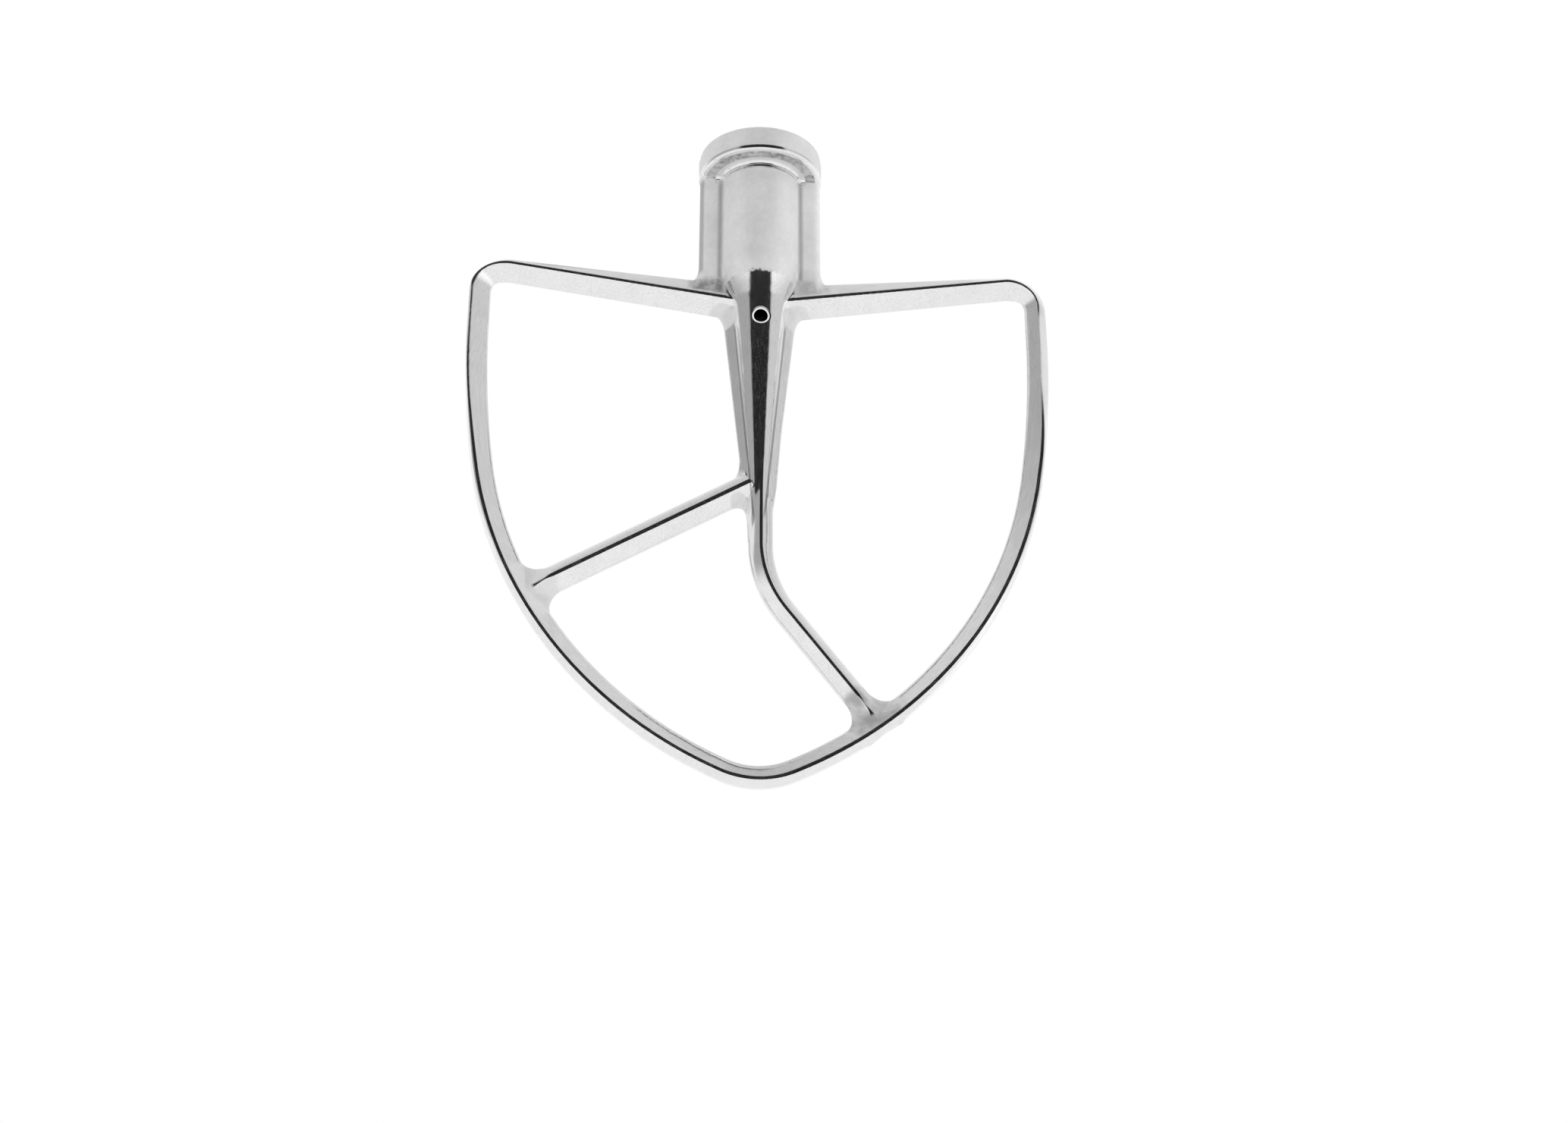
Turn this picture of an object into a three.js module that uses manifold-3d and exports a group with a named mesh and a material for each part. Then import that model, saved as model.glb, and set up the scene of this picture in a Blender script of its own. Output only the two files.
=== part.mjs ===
// Flat beater for a planetary mixer: one polished stainless casting, held here as its separate members.
// Units are millimetres, +Z is up along the hub's bore, and the origin is the centre of the bore's mouth,
// on the top face of the collar. The blade loop lies in the XZ plane and -Y is the front, the drain hole's side.
// Members that meet end to end keep a small joint gap, so that each is a closed solid of its own.
import * as THREE from 'three';
import { ConvexGeometry } from 'three/addons/geometries/ConvexGeometry.js';
import { mergeVertices } from 'three/addons/utils/BufferGeometryUtils.js';
import Module from 'manifold-3d';

// Hub
const COLLAR_RADIUS = 15.8;
const COLLAR_HEIGHT = 6.7;
const COLLAR_EDGE = 1.3;
const BARREL_RADIUS = 10.4;
const BARREL_END_Z = -32.6;
const BORE_RADIUS = 6.6;
const BORE_DEPTH = 34;
const PILOT_RADIUS = 3.1;
const PILOT_DEPTH = 53.5;
const MOUTH_CHAMFER = 0.8;
const DRAIN_RADIUS = 1.85;
const DRAIN_Z = -51.4;
const WEB_REACH = 15.7;
const WEB_THICKNESS = 4.6;
const WEB_END_Z = -37;

// Pin slot at the back of the hub: down a keyway, then a quarter turn to the right
const SLOT_WIDTH = 5.4;
const SLOT_REACH = 11.3;
const SLOT_END_Z = -19;
const SLOT_TURN = 7.5;

// Spindle: radius of the round core at three heights, and the reach of its two side fins
const SHOULDER_END = { z: -45.2, r: 7.3 };
const SPINDLE_TOP = { z: -55.5, r: 6.3 };
const SPINDLE_WAIST = { z: -86, r: 3.5 };
const SPINDLE_END = { z: -96, r: 3 };
const FIN_TOP = { z: -50, x: 9.2 };
const FIN_END = { z: -94, x: 4.4 };
const FIN_THICKNESS = 3.2;

// Blade loop: outer edge, from the straight side down to the rounded tip
const SIDE_X = 73.8;
const SIDE_START_Z = -46;
const SIDE_BEND_Z = -53.2;
const FLANK_RADIUS = 260;
const FLANK_TURN = 8.8;
const BELLY_RADIUS = 105.7;
const BELLY_TURN = 64.8;
const TIP_RADIUS = 22.8;
const BLADE_DEPTH = 6.8;
const BLADE_WIDTH = 5.5;

// Arms: heights of the top edge, the front and back ridges and the bottom edge at both ends
const ARM_OUTER = { x: 64.2, top: -33.6, ridge: -35.9, bottom: -40.1 };
const ARM_INNER = { x: 9, top: -38.4, ridge: -44.6, bottom: -49 };
const ARM_HALF_DEPTH = 3.4;
const CORNER_RADIUS = 10;

// Struts: a straight one to the left and a bent one that carries the spindle down to the loop
const STRUT_HALF_DEPTH = 3.2;
const CROSS_START = { x: -4, z: -97.6 };
const CROSS_END = { x: -56, z: -127.4 };
const CROSS_WIDTH = 7.1;
const LOWER_X = 0.3;
const LOWER_START_Z = -96.2;
const LOWER_BEND_Z = -112.5;
const LOWER_BEND_RADIUS = 30;
const LOWER_TURN = 37.7;
const LOWER_END_Z = -160;
const LOWER_WIDTH = 5.9;

const JOINT_GAP = 0.25;
const ROUND_SEGMENTS = 48;
const DEGREE = Math.PI / 180;

const wasm = await Module();
wasm.setup();

// Closed, shared-vertex copy of a geometry as a manifold solid
function toSolid(geometry) {
  const bare = geometry.clone();
  bare.deleteAttribute('normal');
  bare.deleteAttribute('uv');
  const merged = mergeVertices(bare, 1e-4);
  return new wasm.Manifold(new wasm.Mesh({
    numProp: 3,
    vertProperties: new Float32Array(merged.attributes.position.array),
    triVerts: new Uint32Array(merged.index.array),
  }));
}

function toGeometry(solid) {
  const mesh = solid.getMesh();
  const geometry = new THREE.BufferGeometry();
  geometry.setAttribute('position', new THREE.BufferAttribute(new Float32Array(mesh.vertProperties), 3));
  geometry.setIndex(new THREE.BufferAttribute(new Uint32Array(mesh.triVerts), 1));
  geometry.computeVertexNormals();
  return geometry;
}

function cut(geometry, ...tools) {
  const solid = tools.reduce((rest, tool) => rest.subtract(toSolid(tool)), toSolid(geometry));
  return toGeometry(solid);
}

// Body of revolution about the bore's axis from [radius, z] pairs, listed upwards along the outside
function turned(profile, segments = ROUND_SEGMENTS) {
  const points = profile.map(([r, z]) => new THREE.Vector2(r, z));
  const geometry = new THREE.LatheGeometry([...points, points[0].clone()], segments);
  return geometry.rotateX(Math.PI / 2);
}

function block(x0, x1, y0, y1, z0, z1) {
  const geometry = new THREE.BoxGeometry(x1 - x0, y1 - y0, z1 - z0);
  return geometry.translate((x0 + x1) / 2, (y0 + y1) / 2, (z0 + z1) / 2);
}

// A flat outline drawn in (x, z), read as a curve in the blade plane between two of its fractions
class PlaneCurve extends THREE.Curve {
  constructor(outline, from = 0, to = 1) {
    super();
    this.outline = outline;
    this.from = from;
    this.to = to;
  }

  getPoint(t) {
    const point = this.outline.getPointAt(this.from + (this.to - this.from) * t);
    return new THREE.Vector3(point.x, 0, point.y);
  }
}

// Section swept along a curve in the blade plane. In the section, x is depth and y points to the
// right of the direction of travel as seen from the front.
function sweep(section, curve, steps) {
  const shape = new THREE.Shape(section.map(([depth, out]) => new THREE.Vector2(depth, out)));
  return new THREE.ExtrudeGeometry(shape, { extrudePath: curve, steps, bevelEnabled: false });
}

function bladeSection(grow = 0) {
  const half = BLADE_DEPTH / 2 + grow;
  const inner = BLADE_WIDTH + grow;
  return [
    [-1.6, grow], [1.6, grow], [half - 0.3, grow - 0.5], [half, grow - 1.1],
    [0.9 + grow, -inner + 0.3], [0.4, -inner], [-0.4, -inner], [-0.9 - grow, -inner + 0.3],
    [-half, grow - 1.1], [-half + 0.3, grow - 0.5],
  ];
}

function diamondSection(width, halfDepth) {
  const flat = 0.5;
  const side = width / 2;
  return [
    [-flat, side], [flat, side], [halfDepth, flat], [halfDepth, -flat],
    [flat, -side], [-flat, -side], [-halfDepth, -flat], [-halfDepth, flat],
  ];
}

// Outer edge of one half of the loop, drawn from the top of the straight side down to the tip
function halfLoopOutline() {
  const outline = new THREE.Path();
  const flankEnd = FLANK_TURN * DEGREE;
  const bellyEnd = BELLY_TURN * DEGREE;
  const flankX = -SIDE_X + FLANK_RADIUS;
  outline.moveTo(-SIDE_X, SIDE_START_Z);
  outline.lineTo(-SIDE_X, SIDE_BEND_Z);
  outline.absarc(flankX, SIDE_BEND_Z, FLANK_RADIUS, Math.PI, Math.PI + flankEnd, false);
  const inwards = FLANK_RADIUS - BELLY_RADIUS;
  const bellyX = flankX - inwards * Math.cos(flankEnd);
  const bellyZ = SIDE_BEND_Z - inwards * Math.sin(flankEnd);
  outline.absarc(bellyX, bellyZ, BELLY_RADIUS, Math.PI + flankEnd, Math.PI + bellyEnd, false);
  const endX = bellyX - BELLY_RADIUS * Math.cos(bellyEnd);
  const endZ = bellyZ - BELLY_RADIUS * Math.sin(bellyEnd);
  const tipX = -TIP_RADIUS * Math.cos(bellyEnd);
  const tipZ = endZ - (tipX - endX) / Math.tan(bellyEnd);
  outline.lineTo(tipX, tipZ);
  const tipCentreZ = tipZ + TIP_RADIUS * Math.sin(bellyEnd);
  outline.absarc(0, tipCentreZ, TIP_RADIUS, Math.PI + bellyEnd, Math.PI * 1.5, false);
  return outline;
}

// Rounded outer corner between the straight side and the top of the arm, drawn downwards
function cornerOutline() {
  const slope = Math.atan2(ARM_OUTER.top - ARM_INNER.top, ARM_OUTER.x - ARM_INNER.x);
  const turn = Math.PI / 2 - slope;
  const centreX = -SIDE_X + CORNER_RADIUS;
  const armAngle = Math.PI - turn;
  const topAtCorner = ARM_OUTER.top + (-centreX - CORNER_RADIUS * Math.sin(slope) - ARM_OUTER.x) * Math.tan(slope);
  const centreZ = topAtCorner - CORNER_RADIUS * Math.cos(slope);
  const outline = new THREE.Path();
  outline.absarc(centreX, centreZ, CORNER_RADIUS, armAngle, Math.PI, false);
  outline.lineTo(-SIDE_X, SIDE_START_Z);
  return outline;
}

// The same member on the other side of the bore's axis, still facing out
function mirrored(geometry) {
  const copy = geometry.clone();
  copy.deleteAttribute('normal');
  copy.deleteAttribute('uv');
  const merged = mergeVertices(copy, 1e-4);
  merged.scale(-1, 1, 1);
  const index = merged.index;
  for (let i = 0; i < index.count; i += 3) {
    const second = index.getX(i + 1);
    index.setX(i + 1, index.getX(i + 2));
    index.setX(i + 2, second);
  }
  merged.computeVertexNormals();
  return merged;
}

function hubCollar() {
  const ring = turned([
    [BORE_RADIUS, -COLLAR_HEIGHT], [COLLAR_RADIUS - COLLAR_EDGE, -COLLAR_HEIGHT],
    [COLLAR_RADIUS - 0.4, -COLLAR_HEIGHT + 0.5], [COLLAR_RADIUS, -COLLAR_HEIGHT + COLLAR_EDGE],
    [COLLAR_RADIUS, -0.5], [COLLAR_RADIUS - 0.5, 0],
    [BORE_RADIUS + MOUTH_CHAMFER, 0], [BORE_RADIUS, -MOUTH_CHAMFER],
  ]);
  return cut(ring, keyway());
}

function keyway() {
  return block(-SLOT_WIDTH / 2, SLOT_WIDTH / 2, 2, SLOT_REACH, SLOT_END_Z, 1);
}

function hubBarrel() {
  const top = -COLLAR_HEIGHT - JOINT_GAP;
  const sleeve = turned([
    [BORE_RADIUS, BARREL_END_Z], [BARREL_RADIUS, BARREL_END_Z], [BARREL_RADIUS, top], [BORE_RADIUS, top],
  ]);
  const turn = block(0, SLOT_WIDTH / 2 + SLOT_TURN, 2, SLOT_REACH, SLOT_END_Z, SLOT_END_Z + SLOT_WIDTH);
  return cut(sleeve, keyway(), turn);
}

// Flat web beside the barrel, from under the collar down to the arm, with a rounded outer edge
function hubWeb() {
  const half = WEB_THICKNESS / 2;
  const shape = new THREE.Shape();
  shape.moveTo(6, -half);
  shape.lineTo(WEB_REACH - half, -half);
  shape.absarc(WEB_REACH - half, 0, half, -Math.PI / 2, Math.PI / 2, false);
  shape.lineTo(6, half);
  const depth = -COLLAR_HEIGHT - JOINT_GAP - WEB_END_Z;
  const slab = new THREE.ExtrudeGeometry(shape, { depth, curveSegments: 8, bevelEnabled: false });
  slab.translate(0, 0, WEB_END_Z);
  const clear = BARREL_RADIUS + JOINT_GAP;
  const barrel = turned([[0, WEB_END_Z - 1], [clear, WEB_END_Z - 1], [clear, 0], [0, 0]]);
  return cut(slab, barrel);
}

function shoulderProfile(grow) {
  return [
    [0, SPINDLE_TOP.z], [SPINDLE_TOP.r + grow, SPINDLE_TOP.z], [SHOULDER_END.r + grow, SHOULDER_END.z],
    [9.1 + grow, -39], [10.1 + grow, -35], [BARREL_RADIUS + grow, BARREL_END_Z],
  ];
}

function hubShoulder() {
  const top = BARREL_END_Z - JOINT_GAP;
  const outside = shoulderProfile(0);
  outside[outside.length - 1][1] = top;
  const pilotTop = -BORE_DEPTH - (BORE_RADIUS - PILOT_RADIUS) * Math.tan(31 * DEGREE);
  const body = turned([
    ...outside, [BORE_RADIUS, top], [BORE_RADIUS, -BORE_DEPTH],
    [PILOT_RADIUS, pilotTop], [PILOT_RADIUS, -PILOT_DEPTH], [0, -PILOT_DEPTH],
  ]);
  const drain = new THREE.CylinderGeometry(DRAIN_RADIUS, DRAIN_RADIUS, 12, 24);
  drain.translate(0, -6, DRAIN_Z);
  return cut(body, drain);
}

function spindleProfile(grow) {
  const top = SPINDLE_TOP.z - JOINT_GAP;
  return [
    [0, SPINDLE_END.z], [SPINDLE_END.r + grow, SPINDLE_END.z], [SPINDLE_WAIST.r + grow, SPINDLE_WAIST.z],
    [SPINDLE_TOP.r + grow, top], [0, top],
  ];
}

function spindle() {
  return turned(spindleProfile(0));
}

// Thin fin along the side of the spindle, in the blade plane
function spindleFin() {
  const half = FIN_THICKNESS / 2;
  const edge = 0.5;
  const corners = [];
  for (const { x, z } of [FIN_TOP, FIN_END]) {
    for (const side of [-1, 1]) {
      corners.push(new THREE.Vector3(2, side * half, z));
      corners.push(new THREE.Vector3(x - 0.8, side * half, z));
      corners.push(new THREE.Vector3(x, side * edge, z));
    }
  }
  const core = turned([...spindleProfile(JOINT_GAP).slice(0, -1), ...shoulderProfile(JOINT_GAP).slice(2),
    [0, BARREL_END_Z]]);
  return cut(new ConvexGeometry(corners), core, armBlank(JOINT_GAP));
}

function armSection({ x, top, ridge, bottom }, grow) {
  const y = ARM_HALF_DEPTH + grow;
  return [
    [0.9, top + grow - 0.3], [0.4, top + grow], [y, ridge + 0.3], [y, ridge - 0.4],
    [0.9, bottom - grow + 0.3], [0.4, bottom - grow],
  ].flatMap(([depth, z]) => [new THREE.Vector3(x, depth, z), new THREE.Vector3(x, -depth, z)]);
}

function armBlank(grow) {
  return new ConvexGeometry([...armSection(ARM_INNER, grow), ...armSection(ARM_OUTER, grow)]);
}

// Tapered arm with a ridge along its front and back, from the shoulder out to the corner
function arm() {
  const profile = shoulderProfile(JOINT_GAP);
  return cut(armBlank(0), turned([...profile, [0, BARREL_END_Z]]));
}

function corner() {
  const outline = cornerOutline();
  const trim = JOINT_GAP / outline.getLength();
  return sweep(bladeSection(), new PlaneCurve(outline, trim, 1 - trim), 14);
}

function loopStretch(fromLength, toLength, steps, grow = 0) {
  const outline = halfLoopOutline();
  const whole = outline.getLength();
  const trim = grow > 0 ? 0 : JOINT_GAP / 2;
  const curve = new PlaneCurve(outline, (fromLength + trim) / whole, (toLength - trim) / whole);
  return sweep(bladeSection(grow), curve, steps);
}

// The rounded V at the bottom of the loop, made of its left half and the mirror of it
function bladeTip(tipLength) {
  const outline = halfLoopOutline();
  const whole = outline.getLength();
  const left = new PlaneCurve(outline, (whole - tipLength) / whole, 1);
  const half = toSolid(sweep(bladeSection(), left, 8));
  return toGeometry(half.add(toSolid(mirrored(toGeometry(half)))));
}

function crossStrut(...neighbours) {
  const line = new THREE.LineCurve3(
    new THREE.Vector3(CROSS_START.x, 0, CROSS_START.z),
    new THREE.Vector3(CROSS_END.x, 0, CROSS_END.z),
  );
  return cut(sweep(diamondSection(CROSS_WIDTH, STRUT_HALF_DEPTH), line, 1), ...neighbours);
}

function lowerStrutOutline() {
  const turn = LOWER_TURN * DEGREE;
  const outline = new THREE.Path();
  const centreX = LOWER_X + LOWER_BEND_RADIUS;
  outline.moveTo(LOWER_X, LOWER_START_Z);
  outline.lineTo(LOWER_X, LOWER_BEND_Z);
  outline.absarc(centreX, LOWER_BEND_Z, LOWER_BEND_RADIUS, Math.PI, Math.PI + turn, false);
  const bendX = centreX - LOWER_BEND_RADIUS * Math.cos(turn);
  const bendZ = LOWER_BEND_Z - LOWER_BEND_RADIUS * Math.sin(turn);
  outline.lineTo(bendX + (bendZ - LOWER_END_Z) * Math.tan(turn), LOWER_END_Z);
  return outline;
}

function lowerStrut(fromLength, toLength, steps, grow = 0) {
  const outline = lowerStrutOutline();
  const whole = outline.getLength();
  const curve = new PlaneCurve(outline, (fromLength + JOINT_GAP / 2) / whole, toLength / whole);
  return sweep(diamondSection(LOWER_WIDTH + 2 * grow, STRUT_HALF_DEPTH + grow), curve, steps);
}

const polishedSteel = { color: 0xd4d4d2, roughness: 0.12, metalness: 1 };
const satinSteel = { color: 0xc4c4c2, roughness: 0.42, metalness: 1 };
const castSteel = { color: 0xacacaa, roughness: 0.55, metalness: 1 };

const beater = new THREE.Group();

function addMember(name, geometry, finish) {
  const mesh = new THREE.Mesh(geometry, new THREE.MeshStandardMaterial(finish));
  mesh.name = name;
  beater.add(mesh);
}

function addPair(name, leftGeometry, finish) {
  addMember(`${name}_left`, leftGeometry, finish);
  addMember(`${name}_right`, mirrored(leftGeometry), finish);
}

const loopLength = halfLoopOutline().getLength();
const TIP_LENGTH = 24;
const UPPER_BLADE_LENGTH = 62;
const BEND_LENGTH = LOWER_START_Z - LOWER_BEND_Z + LOWER_BEND_RADIUS * LOWER_TURN * DEGREE;

addMember('hub_collar', hubCollar(), satinSteel);
addMember('hub_barrel', hubBarrel(), satinSteel);
addPair('hub_web', mirrored(hubWeb()), castSteel);
addMember('hub_shoulder', hubShoulder(), satinSteel);
addMember('spindle', spindle(), polishedSteel);
addPair('spindle_fin', mirrored(spindleFin()), polishedSteel);
addPair('arm', mirrored(arm()), polishedSteel);
addPair('corner', corner(), polishedSteel);
addPair('blade_upper', loopStretch(0, UPPER_BLADE_LENGTH, 10), polishedSteel);
addPair('blade_lower', loopStretch(UPPER_BLADE_LENGTH, loopLength - TIP_LENGTH, 16), polishedSteel);
addMember('blade_tip', bladeTip(TIP_LENGTH), polishedSteel);

const loopBlank = loopStretch(0, loopLength, 60, JOINT_GAP);
const spindleBlank = turned(spindleProfile(JOINT_GAP));
const bendBlank = lowerStrut(0, BEND_LENGTH, 12, JOINT_GAP);
const lowerLeg = lowerStrut(BEND_LENGTH, lowerStrutOutline().getLength(), 2);
addMember('cross_strut', crossStrut(loopBlank, spindleBlank, bendBlank), polishedSteel);
addMember('lower_strut_bend', lowerStrut(0, BEND_LENGTH, 12), polishedSteel);
addMember('lower_strut_leg', cut(lowerLeg, mirrored(loopBlank)), polishedSteel);

export default beater;
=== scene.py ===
"""Looks of the flat beater: one polished stainless casting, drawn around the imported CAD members.

The casting's skin is the zero surface of one distance field, in which the members run into each other
through cast fillets. The skin is meshed once, parted where the CAD members part, and each part is
closed with a flat cap, so every CAD node is stood for by a closed piece of its own.
"""
import math

import bmesh
import bpy
import numpy as np
from mathutils import Matrix, Vector


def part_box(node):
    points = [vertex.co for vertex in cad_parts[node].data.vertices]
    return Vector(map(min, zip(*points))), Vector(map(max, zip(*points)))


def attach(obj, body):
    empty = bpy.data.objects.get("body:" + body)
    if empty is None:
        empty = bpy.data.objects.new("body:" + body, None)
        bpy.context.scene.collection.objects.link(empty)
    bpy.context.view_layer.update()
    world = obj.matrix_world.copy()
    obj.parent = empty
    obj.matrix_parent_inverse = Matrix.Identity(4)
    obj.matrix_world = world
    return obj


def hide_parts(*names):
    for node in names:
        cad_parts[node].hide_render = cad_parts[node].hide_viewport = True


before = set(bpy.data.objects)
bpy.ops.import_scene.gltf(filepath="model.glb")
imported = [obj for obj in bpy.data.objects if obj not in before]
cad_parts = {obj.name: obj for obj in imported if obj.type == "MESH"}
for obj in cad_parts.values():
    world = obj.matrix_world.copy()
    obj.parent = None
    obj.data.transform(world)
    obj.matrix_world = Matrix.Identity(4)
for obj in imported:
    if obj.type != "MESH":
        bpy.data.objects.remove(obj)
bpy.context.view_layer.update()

MM = 0.001
SHRINK = Matrix.Scale(MM, 4)


def node_box(node):
    """Lowest and highest corner of a CAD node, in millimetres."""
    low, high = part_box(node)
    return np.array(low) / MM, np.array(high) / MM


# ---------------------------------------------------------------- sizes, in millimetres
COLLAR_LOW, COLLAR_HIGH = node_box("hub_collar")
WEB_HIGH = node_box("hub_web_right")[1]
CORNER_HIGH = node_box("corner_right")[1]
INSIDE, WEB_INSIDE, COLLAR_DROP = 0.02, 0.05, 0.3

# Outer edge of the loop: a straight side, then three arcs down to the tip
SIDE_X = CORNER_HIGH[0] - INSIDE
SIDE_BEND_Z = -53.2
FLANK_RADIUS, FLANK_TURN = 260.0, math.radians(8.8)
BELLY_RADIUS, BELLY_TURN = 105.7, math.radians(64.8)
TIP_RADIUS = 22.8

COLLAR_RADIUS = COLLAR_HIGH[0] - INSIDE
COLLAR_END_Z = COLLAR_LOW[2] - COLLAR_DROP
COLLAR_EDGE, COLLAR_TOP_EDGE = 0.85, 0.8
BORE_RADIUS, BORE_END_Z, BORE_CHAMFER = 6.6, -34.0, 0.8
BORE_CONE = math.radians(31)
PILOT_RADIUS, PILOT_END_Z = 3.1, -53.5
SLOT_HALF_WIDTH, SLOT_REACH, SLOT_END_Z, SLOT_TURN_X = 2.7, 11.3, -19.0, 10.2
DRAIN_RADIUS, DRAIN_Z, DRAIN_CHAMFER, DRAIN_CONE = 1.65, -51.4, 0.6, math.radians(30)

# Radius of the hub and spindle's round core at heights along the bore's axis
CORE = [
    (-114.0, 1.2), (-108.0, 1.8), (-101.0, 2.6), (-96.0, 3.05), (-86.0, 3.7), (-70.0, 5.15), (-55.5, 6.48),
    (-45.2, 7.35), (-41.5, 8.25), (-38.0, 9.25), (-35.2, 10.0), (-32.6, 10.38), (5.0, 10.4),
]
CORE_Z, CORE_R = np.array(CORE).T
CORE_END_Z, CORE_END_ROUND, CORE_STEP = -112.0, 2.0, 0.5
SMOOTH_Z = np.arange(-114.0, 5.0, 0.1)
SMOOTH_HALF, SMOOTH_PASSES = 7, 3

WEB_REACH, WEB_HALF, WEB_EDGE = WEB_HIGH[0] - WEB_INSIDE, 2.3, 2.2
WEB_TOP_Z, WEB_END_Z = -2.0, -42.0
FIN_TOP, FIN_END, FIN_EDGE_HALF, FIN_EDGE_ROUND = (9.3, -50.0), (3.3, -104.0), 0.5, 0.9
FIN_SINK, FIN_SINK_Z, FIN_LAST_Z = 2.6, -96.0, -112.0
FIN_TAPER = math.radians(31)
FIN_TOP_Z = -44.0

# Arms and loop: the top edge's line, then how deep and round the ridge is, and how wide its outer
# facet (the crown) and its inner facet are, on the loop's side, at the corner and at the hub
ARM_TOP_OUTER, ARM_TOP_INNER = (64.2, -33.6), (9.0, -38.4)
CORNER_RADIUS = 10.0
RIDGE_DEPTH, RIDGE_ROUND_SIDE, RIDGE_ROUND_LOW = 3.4, 0.35, 1.2
RIDGE_ROUND_CORNER, RIDGE_ROUND_HUB = 0.6, 0.22
RIDGE_ROUND_SINKS = 0.25
CORNER_WIDENS, ARM_PAST_HUB = 0.3, 1.1
RIDGE_SHARP_Z, RIDGE_BLUNT_Z = -66.0, -96.0
CROWN_LOOP, CROWN_CORNER, CROWN_HUB = 0.75, 2.3, 5.7
CROWN_WIDE, CROWN_NARROW, CROWN_WIDE_Z, CROWN_END_Z = 2.2, 0.4, -62.0, -88.0
INNER_LOOP, INNER_CORNER, INNER_HUB = 4.75, 4.3, 4.5
CROWN_ROUND, INNER_EDGE_ROUND = 1.2, 1.0

CROSS_START, CROSS_END = (-2.0, -96.5), (-55.8, -127.34)
CROSS_HALF_WIDTH = 3.55
LOWER_X, LOWER_START_Z, LOWER_BEND_Z = 0.55, -80.0, -112.5
LOWER_BEND_RADIUS, LOWER_TURN, LOWER_LEG = 30.0, math.radians(37.7), 34.2
LOWER_HALF_WIDTH = 3.05
STRUT_DEPTH, STRUT_RIDGE_ROUND, STRUT_EDGE_ROUND = 3.2, 0.6, 0.9
FOOT_DEPTH, FOOT_START, FOOT_END = 0.42, 7.5, 1.0
END_SLACK = 0.3

FIN_FILLET, WEB_FILLET, STEM_FILLET, COLLAR_FILLET = 0.25, 0.9, 1.8, 1.1
BAR_FILLET, RIDGE_FILLET = 3.0, 0.25
FLUSH_DEPTH, FLUSH_ROUND, CUT_ROUND = 3.42, 0.6, 0.35
RIDGE_FADE = 2.5


# ---------------------------------------------------------------- distance field helpers
def smooth_max(a, b, k):
    """Larger of two distances, with the edge between them rounded over k."""
    h = np.maximum(k - np.abs(a - b), 0.0) / k
    return np.maximum(a, b) + h * h * k * 0.25


def fillet(a, b, radius):
    """Union of two solids with a round fillet in the inner corner."""
    u = np.maximum(radius - a, 0.0)
    v = np.maximum(radius - b, 0.0)
    return np.maximum(radius, np.minimum(a, b)) - np.sqrt(u * u + v * v)


def soft_abs(a, e):
    """Absolute value with its corner rounded."""
    return np.sqrt(a * a + e * e)


def smooth_step(start, end, x):
    """Zero before the start, one past the end, and an S-shaped change between."""
    t = np.clip((x - start) / (end - start), 0.0, 1.0)
    return t * t * (3.0 - 2.0 * t)


def line_offset(x, z, start, end):
    """Distance to the left of a segment's line, distance to the segment, and distance along it."""
    length = math.hypot(end[0] - start[0], end[1] - start[1])
    ux, uz = (end[0] - start[0]) / length, (end[1] - start[1]) / length
    px, pz = x - start[0], z - start[1]
    along = px * ux + pz * uz
    side = px * uz - pz * ux
    beyond = np.maximum(np.maximum(-along, along - length), 0.0)
    return -side, np.hypot(side, beyond), along


def arc_offset(x, z, centre, radius, low, high):
    """Distance outwards from a circle, distance to its arc between two angles, and the angle."""
    px, pz = x - centre[0], z - centre[1]
    angle = np.arctan2(pz, px)
    held = np.clip(angle, low, high)
    distance = np.hypot(px - radius * np.cos(held), pz - radius * np.sin(held))
    return np.hypot(px, pz) - radius, distance, angle


def nearest_of(parts):
    """Signed distance of the nearest stretch, and which stretch it is."""
    signed = np.stack([part[0] for part in parts])
    nearest = np.argmin(np.stack([part[1] for part in parts]), axis=0)
    return np.take_along_axis(signed, nearest[None], 0)[0], nearest


def smoothed_profile():
    """The core's radius on a fine height scale, with its corners averaged out."""
    radius = np.interp(SMOOTH_Z, CORE_Z, CORE_R)
    width = 2 * SMOOTH_HALF + 1
    window = np.ones(width) / width
    for _ in range(SMOOTH_PASSES):
        radius = np.convolve(np.pad(radius, SMOOTH_HALF, mode="edge"), window, mode="valid")
    return radius


CORE_PROFILE = smoothed_profile()


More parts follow.
